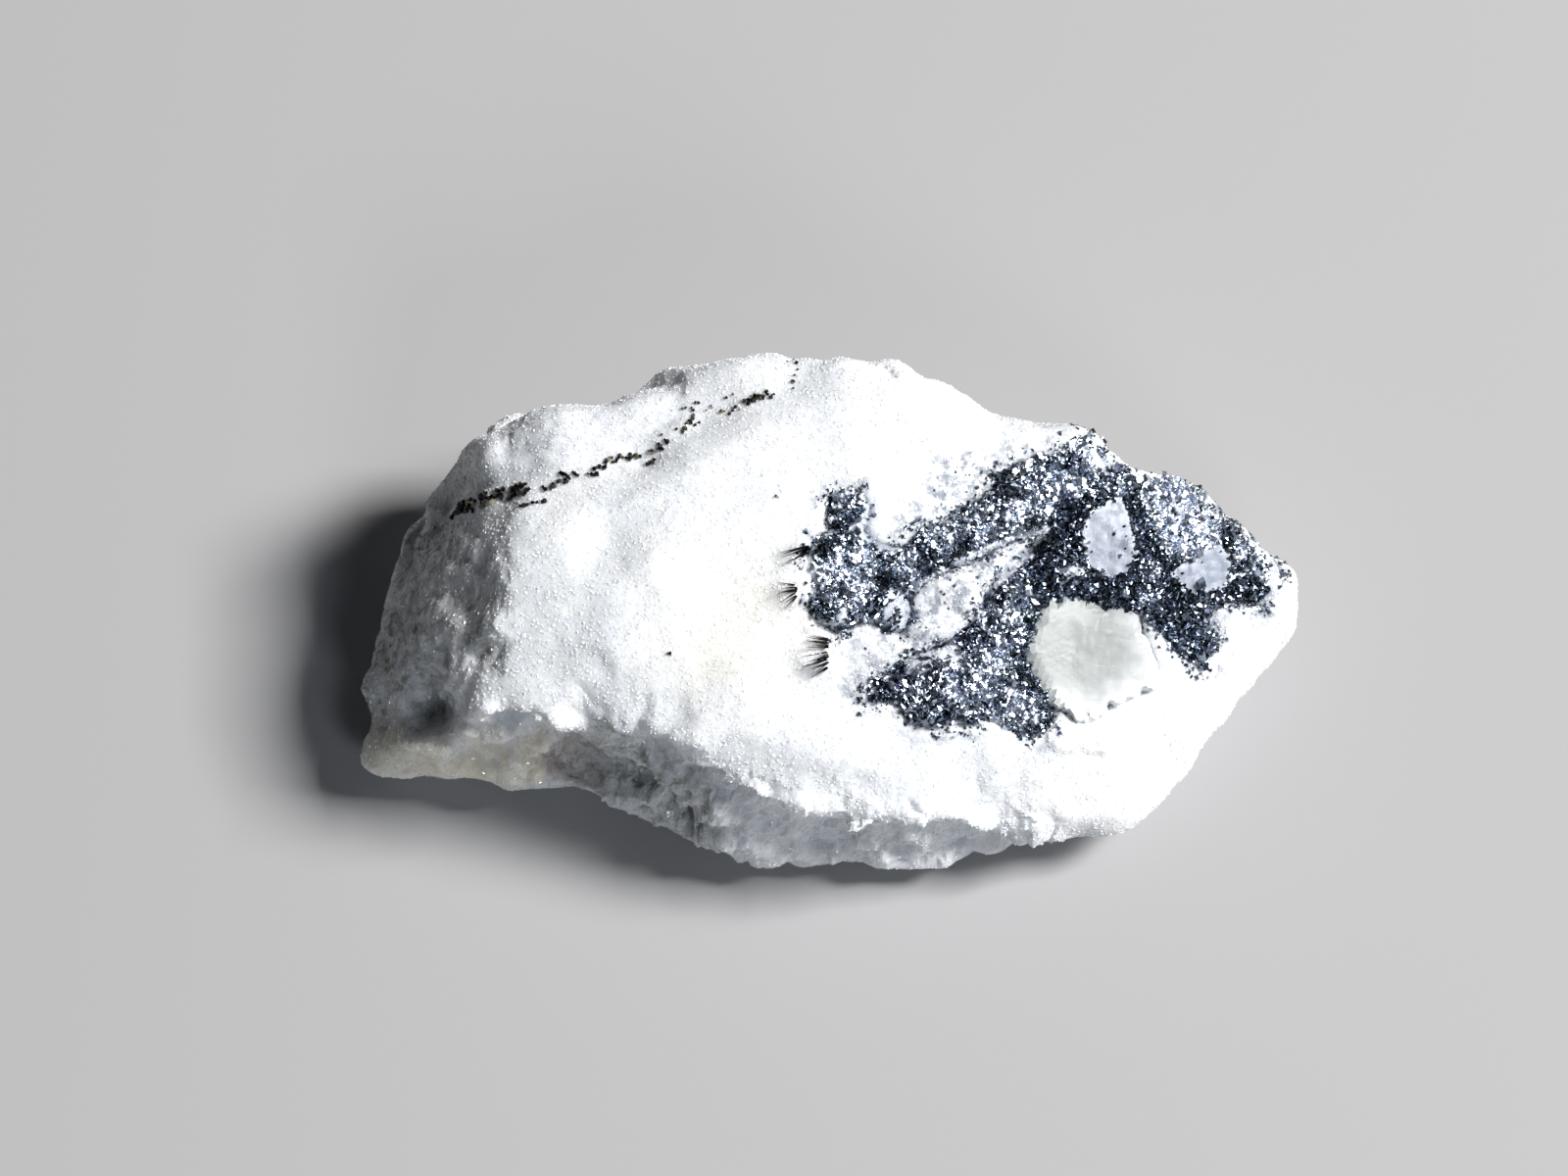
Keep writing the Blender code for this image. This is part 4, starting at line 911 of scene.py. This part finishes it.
def scatterTree():
    tree = bpy.data.node_groups.new("scatter on surface", "GeometryNodeTree")
    given = shapeInputs(tree, (
        ("Surface", "Geometry"), ("Shapes", "Collection"), ("Per Square Millimetre", "Float"),
        ("Where", "String"), ("Smallest", "Float"), ("Largest", "Float"), ("Mostly Small", "Float"),
        ("Lean", "Float"), ("Toward", "Vector"), ("Turned", "Float"), ("Seed", "Int"),
        ("Material", "Material"),
    ))
    seed = given["Seed"]
    share = addNode(tree, "GeometryNodeInputNamedAttribute", {"Name": given["Where"]}, data_type="FLOAT")
    perSquareMetre = times(tree, given["Per Square Millimetre"], 1e6)
    spread = addNode(tree, "GeometryNodeDistributePointsOnFaces", {
        "Mesh": given["Surface"], "Density": times(tree, perSquareMetre, share.outputs[0]), "Seed": seed,
    })
    shapes = addNode(tree, "GeometryNodeCollectionInfo", {
        "Collection": given["Shapes"], "Separate Children": True, "Reset Children": True,
    })
    chance = randomOf(tree, "FLOAT", 0.0, 1.0, seed)
    size = addNode(tree, "ShaderNodeMapRange", {
        "Value": mathOf(tree, "POWER", chance, given["Mostly Small"]),
        "To Min": given["Smallest"], "To Max": given["Largest"],
    })
    back = times(tree, given["Lean"], -1.0)
    low = vectorOf(tree, back, back, 0.0)
    high = vectorOf(tree, given["Lean"], given["Lean"], math.tau)
    turn = addNode(tree, "FunctionNodeEulerToRotation", {0: randomOf(tree, "FLOAT_VECTOR", low, high, seed)})
    turned = addNode(tree, "FunctionNodeAlignRotationToVector", {
        "Rotation": spread.outputs["Rotation"], "Factor": given["Turned"], "Vector": given["Toward"],
    }, axis="Z")
    links = {0: turned.outputs[0], 1: turn.outputs[0]}
    facing = addNode(tree, "FunctionNodeRotateRotation", links, rotation_space="LOCAL")
    # the index starts again at the first shape where there are fewer of them
    pick = randomOf(tree, "INT", 0, 7, seed)
    return finishTree(
        tree, given, Points=spread.outputs["Points"], Instance=shapes.outputs[0], Pick_Instance=True,
        Instance_Index=pick, Rotation=facing.outputs[0], Scale=size.outputs["Result"],
    )


def runTree(piece, tree, **values):
    maker = piece.modifiers.new("maker", "NODES")
    maker.node_group = tree
    sockets = {item.name: item.identifier for item in tree.interface.items_tree if item.in_out == "INPUT"}
    for name, value in values.items():
        maker[sockets[name.replace("_", " ")]] = value
    bake(piece)
    return dress(piece, values["Material"])


def shapeCollection(name, meshes):
    collection = bpy.data.collections.new(name)
    for i, mesh in enumerate(meshes):
        collection.objects.link(bpy.data.objects.new(f"{name} {i}", mesh))
    return collection


def dropShapes(collection):
    for shape in list(collection.objects):
        bpy.data.objects.remove(shape)
    bpy.data.collections.remove(collection)


def rhombGrain(lean, squash):
    # a cleavage block of dolomite: a cube pushed over and pressed
    bm = bmesh.new()
    bmesh.ops.create_cube(bm, size=1)
    bm.transform(Matrix(((1, lean, lean * 0.5, 0), (0, 1, lean, 0), (0, 0, squash, 0), (0, 0, 0, 1))))
    return meshOf(bm, "rhomb", turnOut=True)


def crystalShape(sides, flat, slender, chisel, height=1.0):
    # a prism with a chisel end, rooted a third of its length below its foot
    bm = bmesh.new()
    radius = 0.5 / slender
    made = bmesh.ops.create_cone(bm, cap_ends=True, segments=sides, radius1=radius, radius2=radius, depth=1)
    for vertex in made["verts"]:
        if vertex.co.z > 0:
            vertex.co.x *= chisel
            vertex.co.z -= 0.25 * vertex.co.y
        vertex.co.x *= flat
        vertex.co.z = (vertex.co.z + 0.18) * height
    return meshOf(bm, "crystal", turnOut=True)


def scattered(name, surface, shapes, habit, seed, where, look):
    # the shapes strewn on a copy of the surface, as thick as the value called where has it
    piece = newPiece(name, surface.data.copy())
    runTree(
        piece, scatterer, Shapes=shapes, Per_Square_Millimetre=habit["perSquare"], Where=where,
        Smallest=habit["smallest"] * mm, Largest=habit["largest"] * mm, Mostly_Small=habit["mostlySmall"],
        Lean=habit["lean"], Toward=glintWay, Turned=habit["turned"], Seed=seed, Material=look,
    )
    print(name, sum(len(face.vertices) - 2 for face in piece.data.polygons), "triangles")
    return piece


scatterer = scatterTree()

sugarGrains = {
    "perSquare": 24.0, "smallest": 0.04, "largest": 0.14, "mostlySmall": 1.5, "lean": 0.3, "turned": 0.0,
    "seed": 11, "strips": (-0.0105, 0.0005, 0.0115),
}
crystalCrust = {
    "large": {
        "perSquare": 13.0, "smallest": 0.24, "largest": 0.6, "mostlySmall": 2.2, "lean": 0.7, "turned": 0.0,
        "seed": 5,
    },
    "small": {
        "perSquare": 76.0, "smallest": 0.10, "largest": 0.26, "mostlySmall": 1.4, "lean": 1.0, "turned": 0.0,
        "seed": 8,
    },
    "bright": {
        "perSquare": 86.0, "smallest": 0.12, "largest": 0.34, "mostlySmall": 1.7, "lean": 0.22, "turned": 0.9,
        "seed": 14,
    },
    "spilled": {
        "perSquare": 45.0, "smallest": 0.08, "largest": 0.26, "mostlySmall": 1.8, "lean": 1.2, "turned": 0.0,
        "seed": 9,
    },
}
# halfway between the eye and the main light, where a face has to look to shine
glintWay = (toEye + Vector(keyFrom).normalized()).normalized()


def splitAcross(piece, cuts):
    # the rock's faces in strips from left to right, so that each strip's grains are a piece of their own
    strips = []
    edges = [-1.0, *cuts, 1.0]
    centres = np.empty(len(piece.data.polygons) * 3)
    piece.data.polygons.foreach_get("center", centres)
    across = centres.reshape(-1, 3)[:, 0]
    for low, high in zip(edges, edges[1:]):
        bm = bmesh.new()
        bm.from_mesh(piece.data)
        bm.faces.ensure_lookup_table()
        outside = [bm.faces[i] for i in np.nonzero((across < low) | (across >= high))[0]]
        bmesh.ops.delete(bm, geom=outside, context="FACES")
        strips.append(newPiece("strip", meshOf(bm, "strip")))
    return strips


grains = []
inlays = newPiece("inlays", crustBed.data.copy())
rhombs = shapeCollection("rhombs", [rhombGrain(0.12 + 0.05 * i, 0.36 + 0.06 * i) for i in range(4)])
for i, strip in enumerate([*splitAcross(rockPiece, sugarGrains["strips"]), inlays]):
    grains.append(scattered(
        f"dolomite_grains_{i + 1}", strip, rhombs, sugarGrains, sugarGrains["seed"] + i, "sugar", sparkleLook,
    ))
    bpy.data.objects.remove(strip)
dropShapes(rhombs)

crystals = []
longShapes = shapeCollection("long crystals", [
    crystalShape(6, 0.55, 1.6, 0.35), crystalShape(4, 0.7, 1.3, 0.5), crystalShape(6, 0.9, 1.1, 0.6),
    crystalShape(5, 0.35, 1.9, 0.3), crystalShape(4, 1.0, 1.0, 0.8), crystalShape(6, 0.4, 2.4, 0.3),
])
shortShapes = shapeCollection("short crystals", [
    crystalShape(4, 0.6, 1.1, 0.4), crystalShape(4, 0.9, 1.0, 0.7), crystalShape(3, 0.9, 1.0, 0.5),
    crystalShape(4, 0.4, 1.6, 0.4), crystalShape(3, 1.0, 0.8, 0.8),
])
plateShapes = shapeCollection("plates", [
    crystalShape(6, 1.0, 0.9, 0.9, 0.3), crystalShape(4, 0.8, 0.8, 0.9, 0.35),
    crystalShape(6, 0.6, 0.7, 0.8, 0.3),
])
for kind, surface, shapes, where in (
    ("large", crustBed, longShapes, "crystals"), ("small", crustBed, shortShapes, "crystals"),
    ("bright", crustBed, plateShapes, "bright"), ("spilled", rockPiece, shortShapes, "crystals"),
):
    habit = crystalCrust[kind]
    crystals.append(scattered(
        f"dufrenoysite_crystals_{kind}", surface, shapes, habit, habit["seed"], where, leadLook,
    ))
for shapes in (longShapes, shortShapes, plateShapes):
    dropShapes(shapes)


# Geometry Nodes: cubes along a seam, and a spray of needles

seam = {
    # across and up of the seam's bends, the cubes to a millimetre, and their largest size
    "runs": (
        (((-16.9, 3.9), (-15.8, 4.25), (-14.6, 4.7), (-13.0, 5.1)), 15.0, 0.25, 0.32),
        (((-13.4, 4.2), (-12.6, 4.35), (-12.1, 4.5)), 5.0, 0.2, 0.1),
        (((-12.0, 5.0), (-11.5, 5.4), (-11.0, 5.75), (-10.5, 5.8)), 13.0, 0.22, 0.26),
        (((-9.9, 5.85), (-9.5, 5.9)), 12.0, 0.22, 0.2),
        (((-9.3, 6.15), (-8.5, 6.55), (-7.3, 6.75)), 11.0, 0.2, 0.18),
        (((-6.9, 6.3), (-6.6, 6.45)), 12.0, 0.2, 0.12),
        (((-6.8, 6.95), (-6.3, 7.3), (-5.9, 7.7)), 11.0, 0.2, 0.26),
        (((-5.5, 8.0), (-4.9, 8.3), (-4.4, 8.6)), 9.0, 0.18, 0.3),
        (((-5.0, 9.0), (-4.2, 9.3), (-3.6, 9.2)), 6.0, 0.16, 0.25),
        (((-3.1, 8.9), (-2.4, 9.1)), 8.0, 0.17, 0.2),
        (((-2.9, 9.8), (-2.6, 9.9)), 6.0, 0.17, 0.1),
        (((-1.9, 9.5), (-1.25, 9.65), (-0.6, 9.9)), 14.0, 0.22, 0.2),
        (((0.4, 10.1), (0.6, 10.8), (0.3, 11.6)), 3.0, 0.16, 0.2),
        (((-0.4, 4.65), (-0.3, 4.6)), 12.0, 0.16, 0.03),
        (((-5.85, -3.3), (-5.75, -3.3)), 12.0, 0.16, 0.03),
    ),
    "seed": 21, "rise": 0.09, "smallestShare": 0.35,
}


def seamTree():
    tree = bpy.data.node_groups.new("cubes along a seam", "GeometryNodeTree")
    given = shapeInputs(tree, (
        ("Route", "Geometry"), ("Rock", "Object"), ("Pitch", "Float"), ("Straying", "Float"),
        ("Rise", "Vector"), ("Largest", "Float"), ("Seed", "Int"), ("Material", "Material"),
    ))
    seed = given["Seed"]
    line = addNode(tree, "GeometryNodeMeshToCurve", {0: given["Route"]})
    links = {"Curve": line.outputs[0], "Length": given["Pitch"]}
    stations = addNode(tree, "GeometryNodeCurveToPoints", links, mode="LENGTH")
    strayed = addNode(tree, "GeometryNodeSetPosition", {
        "Geometry": stations.outputs[0], "Offset": strayOf(tree, given["Straying"], seed),
    })
    stone = addNode(tree, "GeometryNodeObjectInfo", {"Object": given["Rock"]}).outputs["Geometry"]
    nearest = addNode(tree, "GeometryNodeProximity", {0: stone}, target_element="FACES")
    seated = addNode(tree, "GeometryNodeSetPosition", {
        "Geometry": strayed.outputs[0], "Position": nearest.outputs["Position"], "Offset": given["Rise"],
    })
    cube = addNode(tree, "GeometryNodeMeshCube", {"Size": (1, 1, 1)})
    turn = randomOf(tree, "FLOAT_VECTOR", (0, 0, 0), (math.tau,) * 3, seed)
    size = times(tree, randomOf(tree, "FLOAT", seam["smallestShare"], 1.0, seed), given["Largest"])
    return finishTree(
        tree, given, Points=seated.outputs[0], Instance=cube.outputs[0], Rotation=turn, Scale=size,
    )


def makeSeam():
    tree = seamTree()
    runs = []
    for i, (bends, perMillimetre, largest, straying) in enumerate(seam["runs"]):
        route = bpy.data.meshes.new("route")
        stops = [onRock(*bend) for bend in bends]
        route.from_pydata(stops, [(j, j + 1) for j in range(len(stops) - 1)], [])
        runs.append(runTree(
            newPiece("run", route), tree, Rock=rockPiece, Pitch=mm / perMillimetre, Straying=straying * mm,
            Rise=toEye * seam["rise"] * mm, Largest=largest * mm, Seed=seam["seed"] + i, Material=pyriteLook,
        ))
    return dress(joinMeshes("pyrite_grains", runs), pyriteLook)


pyriteGrains = makeSeam()
print("pyrite", len(pyriteGrains.data.polygons))

sprays = {
    "upper": {
        "root": (1.2, 1.95), "aim": (-1.0, -0.42), "spread": 0.14, "length": (0.8, 1.7), "count": 18,
        "patch": 0.22, "lift": 0.3,
    },
    "middle": {
        "root": (0.6, -0.1), "aim": (-1.0, -0.3), "spread": 0.5, "length": (0.4, 1.1), "count": 26,
        "patch": 0.35, "lift": 0.15,
    },
    "lower": {
        "root": (2.2, -3.3), "aim": (-1.0, -0.25), "spread": 0.36, "length": (0.3, 1.4), "count": 60,
        "patch": 0.85, "lift": 0.1,
    },
}
hair = {
    "sides": 5, "tip": 0.008, "foot": 0.04, "width": (0.5, 1.2), "patchAcross": 0.08, "tipLift": 0.3,
    "seed": 31,
}


def sprayTree():
    tree = bpy.data.node_groups.new("spray of needles", "GeometryNodeTree")
    given = shapeInputs(tree, (
        ("Anchor", "Geometry"), ("Count", "Int"), ("Root", "Vector"), ("Patch", "Vector"),
        ("Aim", "Vector"), ("Spread", "Float"), ("Shortest", "Float"), ("Longest", "Float"),
        ("Seed", "Int"), ("Material", "Material"),
    ))
    seed = given["Seed"]
    place = randomOf(tree, "FLOAT_VECTOR", scaled(tree, given["Patch"], -1.0), given["Patch"], seed)
    roots = addNode(tree, "GeometryNodePoints", {
        "Count": given["Count"], "Position": vectorMath(tree, "ADD", given["Root"], place),
    })
    way = vectorMath(tree, "ADD", given["Aim"], strayOf(tree, given["Spread"], seed))
    facing = addNode(tree, "FunctionNodeAlignRotationToVector", {"Vector": way}, axis="Z")
    long = randomOf(tree, "FLOAT", given["Shortest"], given["Longest"], seed)
    wide = randomOf(tree, "FLOAT", *hair["width"], seed)
    cone = addNode(tree, "GeometryNodeMeshCone", {
        "Vertices": hair["sides"], "Side Segments": 2, "Radius Top": hair["tip"] * mm,
        "Radius Bottom": hair["foot"] * mm, "Depth": 1.0,
    })
    return finishTree(
        tree, given, Points=roots.outputs[0], Instance=cone.outputs[0], Rotation=facing.outputs[0],
        Scale=vectorOf(tree, wide, wide, long),
    )


def makeSpray(name, habit, tree, seed):
    shortest, longest = habit["length"]
    across, up = habit["root"]
    root = onRock(across, up, bedTree) + toEye * habit["lift"] * mm
    tip = onRock(across + habit["aim"][0] * longest, up + habit["aim"][1] * longest)
    tip = tip + toEye * (habit["lift"] + hair["tipLift"]) * mm
    return runTree(
        newPiece(f"needles_{name}", bpy.data.meshes.new("anchor")), tree, Count=habit["count"], Root=root,
        Patch=sightUp * habit["patch"] * mm + Vector((hair["patchAcross"] * mm, 0, 0)),
        Aim=(tip - root).normalized(), Spread=habit["spread"], Shortest=shortest * mm, Longest=longest * mm,
        Seed=seed, Material=needleLook,
    )


bedTree = treeOf(crustBed)
sprayer = sprayTree()
needles = {}
for i, (name, habit) in enumerate(sprays.items()):
    needles[name] = makeSpray(name, habit, sprayer, hair["seed"] + i)
print("needles", [len(piece.data.polygons) for piece in needles.values()])


# Every piece goes with the one body of the part, and the CAD nodes it stands for are hidden

def settle(piece, slotName, *nodes):
    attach(piece, "root")
    if nodes:
        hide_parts(*nodes)


settle(rockPiece, "dolomite", "dolomite_matrix")
settle(crustBed, "dufrenoysite", "dufrenoysite_crust")
settle(glassyGrain, "glassy_dolomite", "glassy_dolomite_grain")
settle(pyriteGrains, "pyrite", *[node for node in frame["nodes"] if node.startswith("pyrite")])
for piece in grains:
    settle(piece, "dolomite")
for piece in crystals:
    settle(piece, "dufrenoysite")
for name, piece in needles.items():
    settle(piece, "needles", f"needle_spray_{name}")


# Floor, light and camera

studio = {
    "floor": (0.365, 0.365, 0.37, 1), "sky": (0.55, 0.6, 0.7, 1), "skyStrength": 0.05,
    "key": {"from": keyFrom, "power": 27.6, "size": 0.34, "color": (1.0, 0.99, 0.98)},
    "fill": {"from": (0.30, -0.75, 0.55), "power": 3.1, "size": 0.3, "color": (0.86, 0.92, 1.0)},
    "away": 1.2,
}


def makeFloor():
    bm = bmesh.new()
    bmesh.ops.create_grid(bm, x_segments=1, y_segments=1, size=3)
    floor = newPiece("floor", meshOf(bm, "floor", turnOut=True))
    material, tree, shader = startMaterial("pale floor", Roughness=0.7)
    shader.inputs["Base Color"].default_value = studio["floor"]
    floor.data.materials.append(material)


def addLight(name, light):
    way = Vector(light["from"]).normalized()
    lamp = bpy.data.lights.new(name, "AREA")
    lamp.energy = light["power"]
    lamp.size = light["size"]
    lamp.color = light["color"]
    holder = bpy.data.objects.new(name, lamp)
    bpy.context.scene.collection.objects.link(holder)
    holder.location = way * studio["away"]
    holder.rotation_euler = way.to_track_quat("Z", "Y").to_euler()


def makeSky():
    world = bpy.data.worlds.new("sky")
    bpy.context.scene.world = world
    world.use_nodes = True
    background = world.node_tree.nodes["Background"]
    background.inputs["Color"].default_value = studio["sky"]
    background.inputs["Strength"].default_value = studio["skyStrength"]


def makeCamera():
    camera = bpy.data.cameras.new("camera")
    camera.sensor_width = 36
    camera.lens = camera.sensor_width * sight["distance"] / (sight["pictureWidth"] * mm)
    camera.clip_start = 0.01
    holder = bpy.data.objects.new("camera", camera)
    bpy.context.scene.collection.objects.link(holder)
    holder.location = inSight(0, 0, sight["nearestRock"]) + toEye * sight["distance"]
    holder.rotation_euler = toEye.to_track_quat("Z", "Y").to_euler()
    bpy.context.scene.camera = holder


bpy.context.scene.view_settings.view_transform = "Standard"
makeFloor()
addLight("key", studio["key"])
addLight("fill", studio["fill"])
makeSky()
makeCamera()
